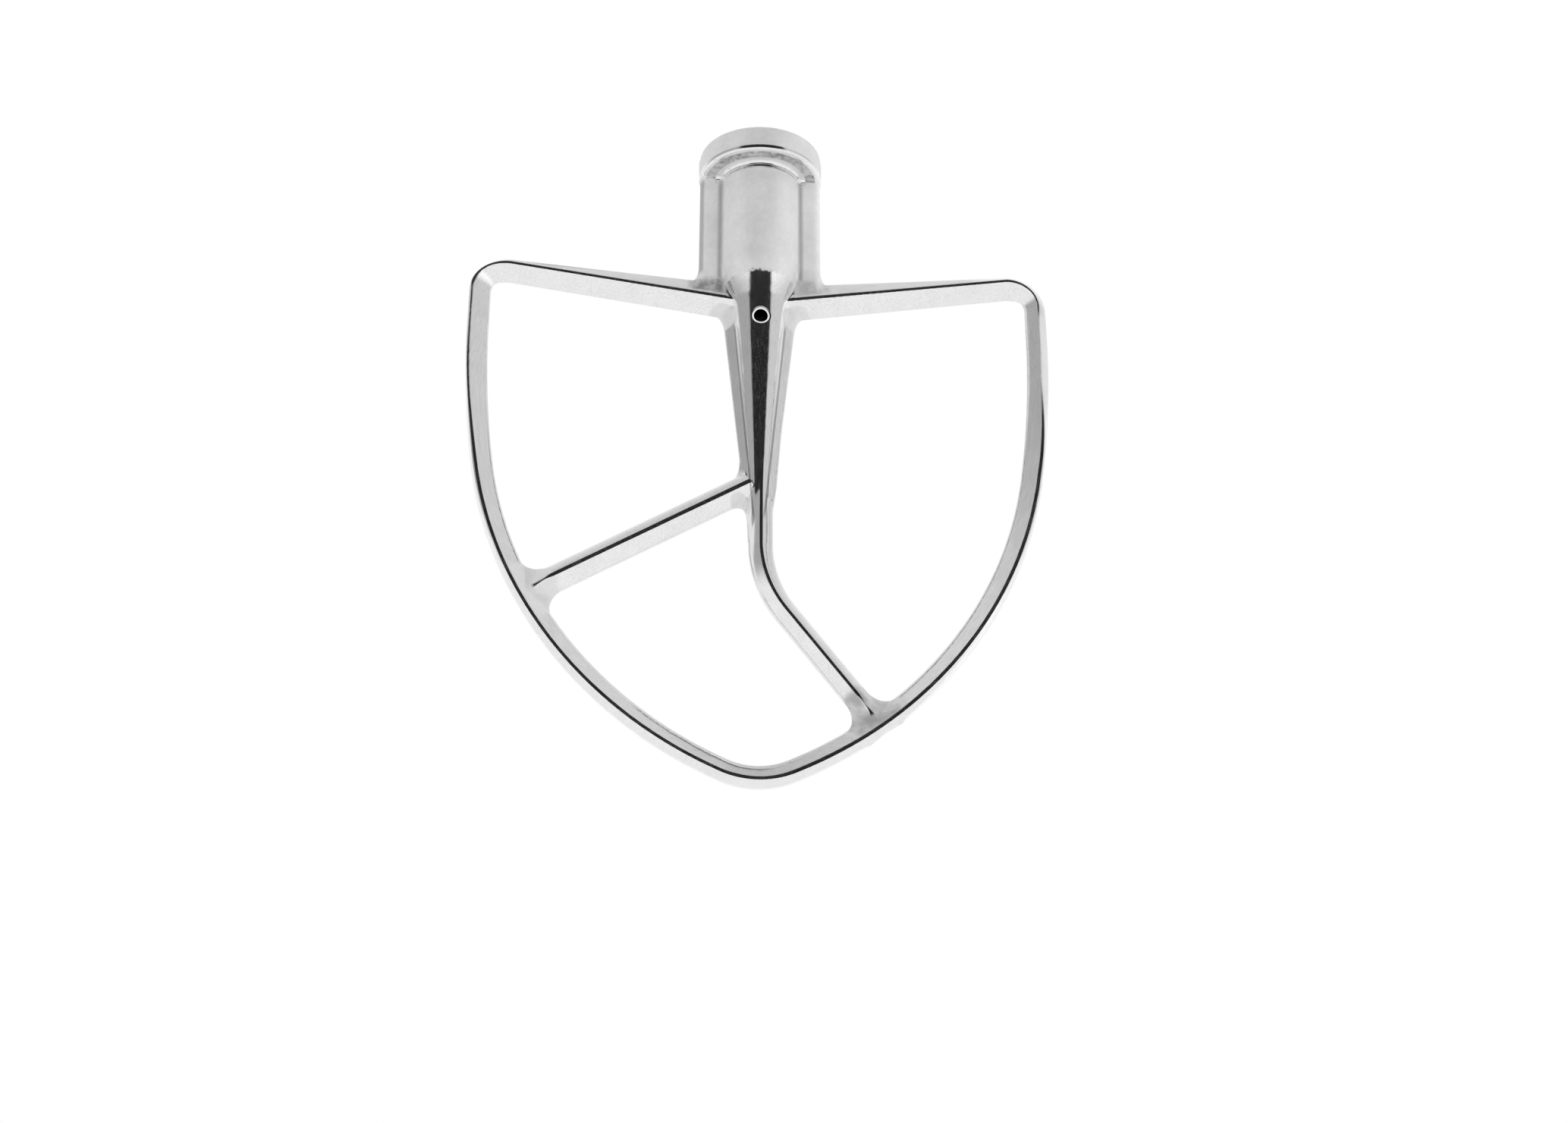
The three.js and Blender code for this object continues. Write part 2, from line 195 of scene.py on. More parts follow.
class Outline:
    """Outer edge of the right half of loop and arm, as tangent lines and arcs from hub to tip."""

    def __init__(self):
        rise, run = ARM_TOP_OUTER[1] - ARM_TOP_INNER[1], ARM_TOP_OUTER[0] - ARM_TOP_INNER[0]
        self.slope = math.atan2(rise, run)
        along = SIDE_X - CORNER_RADIUS - CORNER_RADIUS * math.sin(self.slope) - ARM_TOP_OUTER[0]
        top = ARM_TOP_OUTER[1] + along * math.tan(self.slope)
        self.corner = (SIDE_X - CORNER_RADIUS, top - CORNER_RADIUS * math.cos(self.slope))
        self.corner_start = (
            self.corner[0] - CORNER_RADIUS * math.sin(self.slope),
            self.corner[1] + CORNER_RADIUS * math.cos(self.slope),
        )
        self.hub_end = (0.0, self.corner_start[1] - self.corner_start[0] * math.tan(self.slope))
        self.flank = (SIDE_X - FLANK_RADIUS, SIDE_BEND_Z)
        inwards = FLANK_RADIUS - BELLY_RADIUS
        self.belly = (
            self.flank[0] + inwards * math.cos(FLANK_TURN),
            self.flank[1] - inwards * math.sin(FLANK_TURN),
        )
        self.belly_end = (
            self.belly[0] + BELLY_RADIUS * math.cos(BELLY_TURN),
            self.belly[1] - BELLY_RADIUS * math.sin(BELLY_TURN),
        )
        tip_x = TIP_RADIUS * math.cos(BELLY_TURN)
        tip_z = self.belly_end[1] - (self.belly_end[0] - tip_x) / math.tan(BELLY_TURN)
        self.tip_start = (tip_x, tip_z)
        self.tip = (0.0, tip_z + TIP_RADIUS * math.sin(BELLY_TURN))

    def offset(self, x, z):
        """Distance outwards from the outer edge, and how far the nearest stretch belongs to the arm."""
        corner = arc_offset(x, z, self.corner, CORNER_RADIUS, 0.0, math.pi / 2 + self.slope)
        parts = [
            line_offset(x, z, self.hub_end, self.corner_start),
            corner,
            line_offset(x, z, (SIDE_X, SIDE_BEND_Z), (SIDE_X, self.corner[1])),
            arc_offset(x, z, self.flank, FLANK_RADIUS, -FLANK_TURN, 0.0),
            arc_offset(x, z, self.belly, BELLY_RADIUS, -BELLY_TURN, -FLANK_TURN),
            line_offset(x, z, self.tip_start, self.belly_end),
            arc_offset(x, z, self.tip, TIP_RADIUS, -math.pi / 2, -BELLY_TURN),
        ]
        parts[2] = (-parts[2][0], parts[2][1], parts[2][2])
        parts[5] = (-parts[5][0], parts[5][1], parts[5][2])
        signed, nearest = nearest_of(parts)
        turned = smooth_step(0.0, math.pi / 2 + self.slope, corner[2])
        on_arm = np.where(nearest == 0, 1.0, np.where(nearest == 1, turned, 0.0))
        return signed, on_arm


OUTLINE = Outline()


# ---------------------------------------------------------------- members of the casting
def loop_and_arms(x, y, z):
    """The ridged bar that makes the arms, the corners and the blade loop."""
    reach = np.abs(x)
    out, on_arm = OUTLINE.offset(reach, z)
    span = OUTLINE.corner[0] - ARM_TOP_INNER[0]
    along_arm = np.clip((OUTLINE.corner[0] - reach) / span, 0.0, ARM_PAST_HUB)
    side_crown = np.where(x * y > 0.0, CROWN_NARROW, CROWN_WIDE)
    side_crown = CROWN_LOOP + (side_crown - CROWN_LOOP) * smooth_step(CROWN_END_Z, CROWN_WIDE_Z, z)
    arm_crown = CROWN_CORNER + along_arm * (CROWN_HUB - CROWN_CORNER)
    arm_width = arm_crown + INNER_CORNER + along_arm * (INNER_HUB - INNER_CORNER)
    crown = side_crown + on_arm * (arm_crown - side_crown)
    widened = smooth_step(CORNER_WIDENS, 1.0, on_arm) * (arm_width - CROWN_LOOP - INNER_LOOP)
    inner = CROWN_LOOP + INNER_LOOP + widened - crown
    blunt = smooth_step(RIDGE_SHARP_Z, RIDGE_BLUNT_Z, z)
    ridge_round = RIDGE_ROUND_SIDE + (RIDGE_ROUND_LOW - RIDGE_ROUND_SIDE) * blunt
    arm_round = RIDGE_ROUND_CORNER + along_arm * (RIDGE_ROUND_HUB - RIDGE_ROUND_CORNER)
    ridge_round = ridge_round + (arm_round - ridge_round) * on_arm
    depth = RIDGE_DEPTH + RIDGE_ROUND_SINKS * ridge_round
    roof = crown / (1.0 - CROWN_ROUND / depth)
    upper = ((out + crown) * depth + (soft_abs(y, CROWN_ROUND) - depth) * roof) / np.hypot(depth, roof)
    apex = inner / (1.0 - INNER_EDGE_ROUND / depth)
    lower = ((soft_abs(y, INNER_EDGE_ROUND) - depth) * apex - (out + crown) * depth) / np.hypot(depth, apex)
    return smooth_max(upper, lower, ridge_round)


def core(x, y, z):
    """Round hub, shoulder and spindle."""
    radius = np.interp(z, SMOOTH_Z, CORE_PROFILE)
    above = np.interp(z + CORE_STEP, SMOOTH_Z, CORE_PROFILE)
    slope = (above - np.interp(z - CORE_STEP, SMOOTH_Z, CORE_PROFILE)) / (2.0 * CORE_STEP)
    side = (np.hypot(x, y) - radius) / np.sqrt(1.0 + slope * slope)
    return smooth_max(side, CORE_END_Z - z, CORE_END_ROUND)


def collar(x, y, z):
    """Disc on top of the barrel, well rounded below and slightly above."""
    r = np.hypot(x, y)
    below = smooth_max(r - COLLAR_RADIUS, COLLAR_END_Z - z, COLLAR_EDGE)
    return smooth_max(below, z, COLLAR_TOP_EDGE)


def webs(x, y, z):
    """Flat plates beside the barrel, in the blade's plane, with rounded edges."""
    side = smooth_max(np.abs(x) - WEB_REACH, np.abs(y) - WEB_HALF, WEB_EDGE)
    return np.maximum(np.maximum(side, z - WEB_TOP_Z), WEB_END_Z - z)


def fins(x, y, z):
    """Wedge-shaped fins beside the spindle, which sink into it at their lower ends."""
    slope = (FIN_TOP[0] - FIN_END[0]) / (FIN_TOP[1] - FIN_END[1])
    edge = FIN_TOP[0] + (z - FIN_TOP[1]) * slope - FIN_SINK * smooth_step(FIN_SINK_Z, FIN_LAST_Z, z)
    face = (np.abs(y) - FIN_EDGE_HALF) * math.cos(FIN_TAPER) - (edge - np.abs(x)) * math.sin(FIN_TAPER)
    side = smooth_max(np.abs(x) - edge, face, FIN_EDGE_ROUND)
    return np.maximum(np.maximum(side, z - FIN_TOP_Z), FIN_LAST_Z - z)


def diamond(offset, y, half_width):
    """Bar with ridges along its front and back and softly rounded edges."""
    a, b = math.hypot(half_width, STRUT_RIDGE_ROUND), STRUT_EDGE_ROUND
    c, d = STRUT_RIDGE_ROUND, math.hypot(STRUT_DEPTH, STRUT_EDGE_ROUND)
    across = (d - b) / (a * d - b * c)
    deep = (a - c) / (a * d - b * c)
    shape = soft_abs(offset, STRUT_RIDGE_ROUND) * across + soft_abs(y, STRUT_EDGE_ROUND) * deep
    return (shape - 1.0) / math.hypot(across, deep)


def unit(start, end):
    """Direction from one point to another."""
    length = math.hypot(end[0] - start[0], end[1] - start[1])
    return (end[0] - start[0]) / length, (end[1] - start[1]) / length


def moved(start, way, length):
    """Point a length away from another."""
    return start[0] + way[0] * length, start[1] + way[1] * length


CROSS_WAY = unit(CROSS_START, CROSS_END)
LEG_START = (
    LOWER_X + LOWER_BEND_RADIUS * (1.0 - math.cos(LOWER_TURN)),
    LOWER_BEND_Z - LOWER_BEND_RADIUS * math.sin(LOWER_TURN),
)
LEG_WAY = (math.sin(LOWER_TURN), -math.cos(LOWER_TURN))
LEG_END = moved(LEG_START, LEG_WAY, LOWER_LEG)


def foot_taper(left):
    """How deep a strut still is where this much of its length is left."""
    return 1.0 - FOOT_DEPTH * smooth_step(FOOT_START, FOOT_END, left)


def cross_strut(x, y, z):
    """Straight strut from the foot of the spindle to the left side of the loop."""
    side, _, along = line_offset(x, z, CROSS_START, CROSS_END)
    length = math.hypot(CROSS_END[0] - CROSS_START[0], CROSS_END[1] - CROSS_START[1])
    bar = diamond(side, y / foot_taper(length - along), CROSS_HALF_WIDTH)
    return np.maximum(bar, np.maximum(-along, along - length))


def lower_strut(x, y, z):
    """Strut that runs straight down from the spindle, bends and slants to the loop."""
    centre = (LOWER_X + LOWER_BEND_RADIUS, LOWER_BEND_Z)
    px, pz = x - centre[0], z - centre[1]
    angle = np.arctan2(-pz, -px)
    curved = np.hypot(px, pz) - LOWER_BEND_RADIUS
    on_bend = (angle > 0.0) & (angle < LOWER_TURN)
    parts = [
        line_offset(x, z, (LOWER_X, LOWER_START_Z), (LOWER_X, LOWER_BEND_Z)),
        line_offset(x, z, LEG_START, LEG_END),
        (curved, np.where(on_bend, np.abs(curved), np.inf), angle),
    ]
    offset, _ = nearest_of(parts)
    distance = np.min(np.stack([part[1] for part in parts]), axis=0)
    left = LOWER_LEG - parts[1][2]
    bar = diamond(offset, y / foot_taper(left), LOWER_HALF_WIDTH)
    return np.maximum(bar, distance - np.abs(offset) - END_SLACK)


def bore(x, y, z):
    """The socket, its stepped end and its pin slot, as a solid to take away."""
    r = np.hypot(x, y)
    mouth = np.maximum((r - BORE_RADIUS - BORE_CHAMFER - z) * math.sqrt(0.5), -BORE_CHAMFER - z)
    socket = np.maximum(r - BORE_RADIUS, BORE_END_Z - z)
    slant, rise = math.cos(BORE_CONE), math.sin(BORE_CONE)
    cone = np.maximum((r - BORE_RADIUS) * slant - (z - BORE_END_Z) * rise, z - BORE_END_Z - BORE_CHAMFER)
    pilot = np.maximum(r - PILOT_RADIUS, PILOT_END_Z - z)
    keyway = np.maximum(np.abs(x) - SLOT_HALF_WIDTH, np.maximum(y - SLOT_REACH, -y))
    keyway = np.maximum(keyway, SLOT_END_Z - z)
    turn = np.maximum(np.maximum(-x, x - SLOT_TURN_X), np.maximum(y - SLOT_REACH, SLOT_HALF_WIDTH - y))
    turn = np.maximum(turn, np.maximum(SLOT_END_Z - z, z - SLOT_END_Z - 2 * SLOT_HALF_WIDTH))
    round_part = np.minimum(np.minimum(socket, mouth), np.minimum(cone, pilot))
    return np.minimum(round_part, np.minimum(keyway, turn))


def drain(x, y, z):
    """Small cross hole at the front with a chamfered mouth."""
    r = np.hypot(x, z - DRAIN_Z)
    depth = np.interp(z, SMOOTH_Z, CORE_PROFILE) - np.hypot(x, y)
    widest = r - DRAIN_RADIUS - DRAIN_CHAMFER
    flare = widest * math.sin(DRAIN_CONE) + depth * math.cos(DRAIN_CONE)
    hole = np.minimum(r - DRAIN_RADIUS, np.maximum(flare, widest))
    return np.maximum(hole, y)


def casting(p):
    """Distance outwards from the skin of the whole casting, for points in millimetres."""
    x, y, z = p[:, 0], p[:, 1], p[:, 2]
    off_ridge = np.clip(1.0 - np.abs(y) / RIDGE_DEPTH, 0.0, 1.0) ** RIDGE_FADE
    joint = RIDGE_FILLET + (BAR_FILLET - RIDGE_FILLET) * off_ridge
    bars = fillet(cross_strut(x, y, z), lower_strut(x, y, z), joint)
    bars = fillet(bars, loop_and_arms(x, y, z), joint)
    bars = smooth_max(bars, np.abs(y) - FLUSH_DEPTH, FLUSH_ROUND)
    stem = fillet(core(x, y, z), fins(x, y, z), FIN_FILLET)
    stem = fillet(stem, webs(x, y, z), WEB_FILLET)
    body = fillet(stem, bars, RIDGE_FILLET + (STEM_FILLET - RIDGE_FILLET) * off_ridge)
    body = fillet(body, collar(x, y, z), COLLAR_FILLET)
    body = np.maximum(body, z)
    hollow = np.minimum(bore(x, y, z), drain(x, y, z))
    return smooth_max(body, -hollow, CUT_ROUND)


# ---------------------------------------------------------------- meshing
CELL, BLOCK, MARGIN = 0.25, 4, 1.2
SETTLE_STEP, LEAST_SLOPE = 0.4 * CELL, 0.05
BLOCK_SLACK, BLOCK_EXTRA = 1.15, 0.4
CORNERS = np.array([(i, j, k) for i in (0, 1) for j in (0, 1) for k in (0, 1)])
EDGES = [
    (a, b)
    for a in range(8)
    for b in range(a + 1, 8)
    if np.abs(CORNERS[a] - CORNERS[b]).sum() == 1
]


def in_chunks(field, points, size=400_000):
    """The field at every point, a part of them at a time to save memory."""
    return np.concatenate([field(points[i : i + size]) for i in range(0, len(points), size)])


def gradient(field, points, step=0.02):
    """Unit-scale slope of the field, by central differences."""
    slopes = []
    for axis in range(3):
        shift = np.zeros(3)
        shift[axis] = step
        slopes.append((in_chunks(field, points + shift) - in_chunks(field, points - shift)) / (2 * step))
    return np.stack(slopes, axis=1)


def settle(field, points, rounds=3):
    """Moves points onto the zero surface along its slope."""
    for _ in range(rounds):
        value = in_chunks(field, points)
        slope = gradient(field, points)
        size = np.maximum((slope * slope).sum(1), LEAST_SLOPE)
        step = np.clip(value / size, -SETTLE_STEP, SETTLE_STEP)
        points = points - slope * step[:, None]
    return points


def live_blocks(field, low, high):
    """Integer corners of the blocks that the surface may pass through."""
    size = CELL * BLOCK
    counts = np.ceil((high - low) / size).astype(int)
    index = np.stack(np.meshgrid(*[np.arange(n) for n in counts], indexing="ij"), -1).reshape(-1, 3)
    centres = low + (index + 0.5) * size
    reach = size * math.sqrt(3) / 2 * BLOCK_SLACK + BLOCK_EXTRA
    return index[np.abs(in_chunks(field, centres)) < reach]


def surface_net(field, low, high):
    """Quads of the zero surface, one vertex for each grid cell that the surface crosses."""
    blocks = live_blocks(field, low, high)
    local = np.stack(np.meshgrid(*[np.arange(BLOCK + 1)] * 3, indexing="ij"), -1).reshape(-1, 3)
    grid = (blocks[:, None, :] * BLOCK + local[None]).reshape(-1, 3)
    values = in_chunks(field, low + grid * CELL).reshape(-1, BLOCK + 1, BLOCK + 1, BLOCK + 1)
    inside = values < 0.0
    corner_sets = [
        inside[:, i : i + BLOCK, j : j + BLOCK, k : k + BLOCK] for i, j, k in CORNERS
    ]
    total = sum(c.astype(np.int8) for c in corner_sets)
    which, ci, cj, ck = np.nonzero((total > 0) & (total < 8))
    corner_values = np.stack(
        [values[which, ci + i, cj + j, ck + k] for i, j, k in CORNERS], axis=1
    )
    cells = blocks[which] * BLOCK + np.stack([ci, cj, ck], 1)
    place = np.zeros((len(cells), 3))
    crossings = np.zeros(len(cells))
    for a, b in EDGES:
        va, vb = corner_values[:, a], corner_values[:, b]
        crossed = (va < 0) != (vb < 0)
        t = np.where(crossed, va / np.where(crossed, va - vb, 1.0), 0.0)[:, None]
        point = CORNERS[a] + (CORNERS[b] - CORNERS[a]) * t
        place += np.where(crossed[:, None], point, 0.0)
        crossings += crossed
    vertices = low + (cells + place / crossings[:, None]) * CELL

    span = (cells.max(0) + 3).astype(np.int64)

    def key(c):
        return (c[..., 0] * span[1] + c[..., 1]) * span[2] + c[..., 2]

    keys = key(cells.astype(np.int64))
    order = np.argsort(keys)
    quads = []
    for axis in range(3):
        one, two = (axis + 1) % 3, (axis + 2) % 3
        start = inside[:, :BLOCK, :BLOCK, :BLOCK]
        shifted = [slice(0, BLOCK)] * 3
        shifted[axis] = slice(1, BLOCK + 1)
        end = inside[(slice(None), *shifted)]
        which, i, j, k = np.nonzero(start != end)
        corner = blocks[which] * BLOCK + np.stack([i, j, k], 1)
        leaving = start[which, i, j, k]
        ring = []
        for back_one, back_two in ((1, 1), (0, 1), (0, 0), (1, 0)):
            cell = corner.copy()
            cell[:, one] -= back_one
            cell[:, two] -= back_two
            ring.append(key(cell.astype(np.int64)))
        ring = np.stack(ring, 1)
        ring[~leaving] = ring[~leaving][:, ::-1]
        quads.append(ring)
    quads = np.concatenate(quads)
    found = order[np.clip(np.searchsorted(keys[order], quads), 0, len(order) - 1)]
    good = (keys[found] == quads).all(1)
    return vertices, found[good]


def relax(points, quads):
    """One pass of moving each vertex to the middle of its neighbours."""
    total = np.zeros_like(points)
    count = np.zeros(len(points))
    for a, b in ((0, 1), (1, 2), (2, 3), (3, 0)):
        for here, there in ((quads[:, a], quads[:, b]), (quads[:, b], quads[:, a])):
            for axis in range(3):
                total[:, axis] += np.bincount(here, points[there, axis], len(points))
            count += np.bincount(here, minlength=len(points))
    return 0.5 * points + 0.5 * total / np.maximum(count, 1)[:, None]


# ---------------------------------------------------------------- parting into the CAD members
HUB_X = 9.4
HUB_REACH = 20.0
COLLAR_SEAM_Z = -7.15
SHOULDER_TOP_Z, SHOULDER_END_Z = -32.6, -55.6
WEB_SEAM_RISE = 2.0
FIN_SEAM_TOP, FIN_SEAM_END = (6.5, -50.0), (2.8, -95.0)
CORNER_X, SIDE_TOP_Z = 64.2, -46.0
ARM_ZONE_Z = -60.0
BLADE_SPLIT_TURN = math.radians(16.9)
TIP_SPLIT = 14.0
CROSS_SEAM_START, CROSS_SEAM_END = 8.0, 56.1
LOWER_SEAM_X, LOWER_SEAM_Z = -3.4, -106.0
LEG_SEAM = 28.4
STRUT_ZONE = 7.0
SEAM_WIDTH = 1e-5
SEAM_SLACK = 3.0 * CELL
LEVEL_ZONE, LOOP_ZONE, SIDE_ZONE = 2.0, 9.0, (40.0, 80.0)
CROSS_ZONE_Z, WEB_ZONE_Z = (-115.0, -90.0), (-40.0, -30.0)
DRAIN_ZONE, DRAIN_ZONE_EDGE, DRAIN_ZONE_Y, DRAIN_CUTS = 3.0, 1.0, -3.5, 2


class Seam:
    """Plane through a point in XZ, with the box of x and z inside which it parts the skin."""

    def __init__(self, point, normal, low, high):
        length = math.hypot(normal[0], normal[1])
        self.point = np.array([point[0], 0.0, point[1]])
        self.normal = np.array([normal[0] / length, 0.0, normal[1] / length])
        self.low, self.high = low, high

    def distance(self, points):
        return (points - self.point) @ self.normal

    def near(self, points):
        x, z = points[:, 0], points[:, 2]
        held = (x > self.low[0] - SEAM_SLACK) & (x < self.high[0] + SEAM_SLACK)
        held &= (z > self.low[1] - SEAM_SLACK) & (z < self.high[1] + SEAM_SLACK)
        return held & (np.abs(self.distance(points)) < SEAM_SLACK)


def around(point, reach):
    """Low and high corner of the square zone round a point."""
    return (point[0] - reach, point[1] - reach), (point[0] + reach, point[1] + reach)


SPLIT_WAY = (math.sin(BLADE_SPLIT_TURN), math.cos(BLADE_SPLIT_TURN))
SPLIT_POINT = (
    OUTLINE.belly[0] + BELLY_RADIUS * math.cos(BLADE_SPLIT_TURN),
    OUTLINE.belly[1] - BELLY_RADIUS * math.sin(BLADE_SPLIT_TURN),
)
TIP_WAY = unit(OUTLINE.tip_start, OUTLINE.belly_end)
TIP_POINT = (
    OUTLINE.tip_start[0] + TIP_SPLIT * TIP_WAY[0],
    OUTLINE.tip_start[1] + TIP_SPLIT * TIP_WAY[1],
)
WEB_SLOPE = math.tan(OUTLINE.slope)
WEB_SEAM_POINT = (HUB_X, ARM_TOP_INNER[1] + WEB_SEAM_RISE)
FIN_SLOPE = (FIN_SEAM_TOP[0] - FIN_SEAM_END[0]) / (FIN_SEAM_TOP[1] - FIN_SEAM_END[1])


def level(z, low_x, high_x):
    """Seam at one height, between two values of x."""
    return Seam((0.0, z), (0.0, 1.0), (low_x, z - LEVEL_ZONE), (high_x, z + LEVEL_ZONE))


def seams():
    """Every plane that parts the skin."""
    cross_start = moved(CROSS_START, CROSS_WAY, CROSS_SEAM_START)
    cross_end = moved(CROSS_START, CROSS_WAY, CROSS_SEAM_END)
    leg_end = moved(LEG_START, LEG_WAY, LEG_SEAM)
    found = [
        level(COLLAR_SEAM_Z, -HUB_REACH, HUB_REACH),
        level(SHOULDER_TOP_Z, -HUB_X, HUB_X),
        level(FIN_SEAM_TOP[1], -HUB_X, HUB_X),
        level(SHOULDER_END_Z, -HUB_X, HUB_X),
        level(FIN_SEAM_END[1], -HUB_X, HUB_X),
        level(LOWER_SEAM_Z, LOWER_SEAM_X, HUB_X),
        Seam(cross_start, CROSS_WAY, (-HUB_REACH, CROSS_ZONE_Z[0]), (LOWER_SEAM_X, CROSS_ZONE_Z[1])),
        Seam(cross_end, CROSS_WAY, *around(cross_end, STRUT_ZONE)),
        Seam(LEG_START, LEG_WAY, *around(LEG_START, STRUT_ZONE)),
        Seam(leg_end, LEG_WAY, *around(leg_end, STRUT_ZONE)),
    ]
    for side in (-1, 1):
        inner, outer = sorted((0.0, side * HUB_REACH))
        far_low, far_high = sorted(side * end for end in SIDE_ZONE)
        web_low, web_high = sorted((side * HUB_X, side * HUB_REACH))
        split_point = (side * SPLIT_POINT[0], SPLIT_POINT[1])
        tip_point = (side * TIP_POINT[0], TIP_POINT[1])
        found += [
            Seam((side * HUB_X, 0.0), (1.0, 0.0), (inner, ARM_ZONE_Z), (outer, COLLAR_SEAM_Z)),
            Seam(
                (side * WEB_SEAM_POINT[0], WEB_SEAM_POINT[1]),
                (-side * WEB_SLOPE, 1.0),
                (web_low, WEB_ZONE_Z[0]),
                (web_high, WEB_ZONE_Z[1]),
            ),
            Seam(
                (side * FIN_SEAM_TOP[0], FIN_SEAM_TOP[1]),
                (1.0, -side * FIN_SLOPE),
                (max(inner, -HUB_X), FIN_SEAM_END[1]),
                (min(outer, HUB_X), FIN_SEAM_TOP[1]),
            ),
            Seam((side * CORNER_X, 0.0), (1.0, 0.0), (far_low, ARM_ZONE_Z), (far_high, 0.0)),
            level(SIDE_TOP_Z, far_low, far_high),
            Seam(split_point, (side * SPLIT_WAY[0], SPLIT_WAY[1]), *around(split_point, LOOP_ZONE)),
            Seam(tip_point, (side * TIP_WAY[0], TIP_WAY[1]), *around(tip_point, LOOP_ZONE)),
        ]
    return found


# Members on the middle plane first, then those that come as a left and a right one
PIECES = [
    "hub_collar", "hub_barrel", "hub_shoulder", "spindle", "cross_strut", "lower_strut_bend",
    "lower_strut_leg", "blade_tip", "hub_web", "spindle_fin", "arm", "corner", "blade_upper", "blade_lower",
]
PAIRED_FROM = PIECES.index("hub_web")


def member_of(points):
    """Which member each point of the skin belongs to, as an index into PIECES."""
    x, z = points[:, 0], points[:, 2]
    reach = np.abs(x)
    crease = FIN_SEAM_TOP[0] + (z - FIN_SEAM_TOP[1]) * FIN_SLOPE
    cross_side, _, cross_along = line_offset(x, z, CROSS_START, CROSS_END)
    leg_end = moved(LEG_START, LEG_WAY, LEG_SEAM)
    leg_side, _, leg_along = line_offset(x, z, LEG_START, leg_end)
    on_bend = (x > LOWER_SEAM_X) & (x < STRUT_ZONE * 2) & (z < LOWER_SEAM_Z) & (leg_along < 0.0)
    on_leg = (np.abs(leg_side) < STRUT_ZONE) & (leg_along >= 0.0) & (leg_along < LEG_SEAM)
    on_cross = (np.abs(cross_side) < STRUT_ZONE) & (x < LOWER_SEAM_X)
    on_cross &= (cross_along > CROSS_SEAM_START) & (cross_along < CROSS_SEAM_END)
    web_floor = WEB_SEAM_POINT[1] + (reach - WEB_SEAM_POINT[0]) * WEB_SLOPE
    split = (reach - SPLIT_POINT[0]) * SPLIT_WAY[0] + (z - SPLIT_POINT[1]) * SPLIT_WAY[1]
    tip = (reach - TIP_POINT[0]) * TIP_WAY[0] + (z - TIP_POINT[1]) * TIP_WAY[1]
    hub = reach < HUB_X
    cases = [
        (z > COLLAR_SEAM_Z, "hub_collar"),
        (hub & (z > SHOULDER_TOP_Z), "hub_barrel"),
        (hub & (z > FIN_SEAM_TOP[1]), "hub_shoulder"),
        (hub & (z > FIN_SEAM_END[1]) & (reach > crease), "spindle_fin"),
        (hub & (z > SHOULDER_END_Z), "hub_shoulder"),
        (hub & (z > FIN_SEAM_END[1]), "spindle"),
        ((reach < HUB_REACH) & (z > web_floor), "hub_web"),
        ((reach < CORNER_X) & (z > ARM_ZONE_Z), "arm"),
        (z > SIDE_TOP_Z, "corner"),
        (on_cross, "cross_strut"),
        (on_bend & (z > LEG_START[1] - STRUT_ZONE), "lower_strut_bend"),
        (on_leg, "lower_strut_leg"),
        ((reach < HUB_REACH) & (z > LOWER_SEAM_Z - STRUT_ZONE), "spindle"),
        (split > 0.0, "blade_upper"),
        (tip > 0.0, "blade_lower"),
    ]
    inside = [case for case, _ in cases]
    labels = [PIECES.index(name) for _, name in cases]
    return np.select(inside, labels, PIECES.index("blade_tip"))


def piece_name(index, side):
    """CAD node's name for a member and the side it is on."""
    name = PIECES[index]
    return name if index < PAIRED_FROM else name + ("_right" if side > 0 else "_left")


def refine_drain(skin):
    """Finer faces round the small hole's mouth, laid back onto the field."""
    chosen = set()
    for face in skin.faces:
        middle = face.calc_center_median()
        if middle.y < DRAIN_ZONE_Y and math.hypot(middle.x, middle.z - DRAIN_Z) < DRAIN_ZONE:
            chosen.update(face.edges)
    bmesh.ops.subdivide_edges(skin, edges=list(chosen), cuts=DRAIN_CUTS, use_grid_fill=True)
    wider = DRAIN_ZONE + DRAIN_ZONE_EDGE
    loose = [
        corner
        for corner in skin.verts
        if corner.co.y < DRAIN_ZONE_Y and math.hypot(corner.co.x, corner.co.z - DRAIN_Z) < wider
    ]
    places = settle(casting, np.array([corner.co for corner in loose]), 4)
    for corner, place in zip(loose, places):
        corner.co = place


def cut_along_seams(vertices, quads, planes):
    """Bmesh of the skin with edges along every seam."""
    mesh = bpy.data.meshes.new("skin")
    mesh.from_pydata(vertices.tolist(), [], quads.tolist())
    skin = bmesh.new()
    skin.from_mesh(mesh)
    bpy.data.meshes.remove(mesh)
    refine_drain(skin)
    skin.faces.ensure_lookup_table()
    middles = np.array([face.calc_center_median() for face in skin.faces])
    close = np.any([plane.near(middles) for plane in planes], axis=0)
    candidates = [skin.faces[i] for i in np.nonzero(close)[0]]
    for plane in planes:
        middles = np.array([face.calc_center_median() for face in candidates])
        near = plane.near(middles)
        chosen = [face for face, held in zip(candidates, near) if held]
        kept = [face for face, held in zip(candidates, near) if not held]
        edges = {edge for face in chosen for edge in face.edges}
        corners = {corner for face in chosen for corner in face.verts}
        cut = bmesh.ops.bisect_plane(
            skin,
            geom=list(corners) + list(edges) + chosen,
            dist=SEAM_WIDTH,
            plane_co=plane.point,
            plane_no=plane.normal,
        )
        candidates = kept + [item for item in cut["geom"] if isinstance(item, bmesh.types.BMFace)]
    return skin


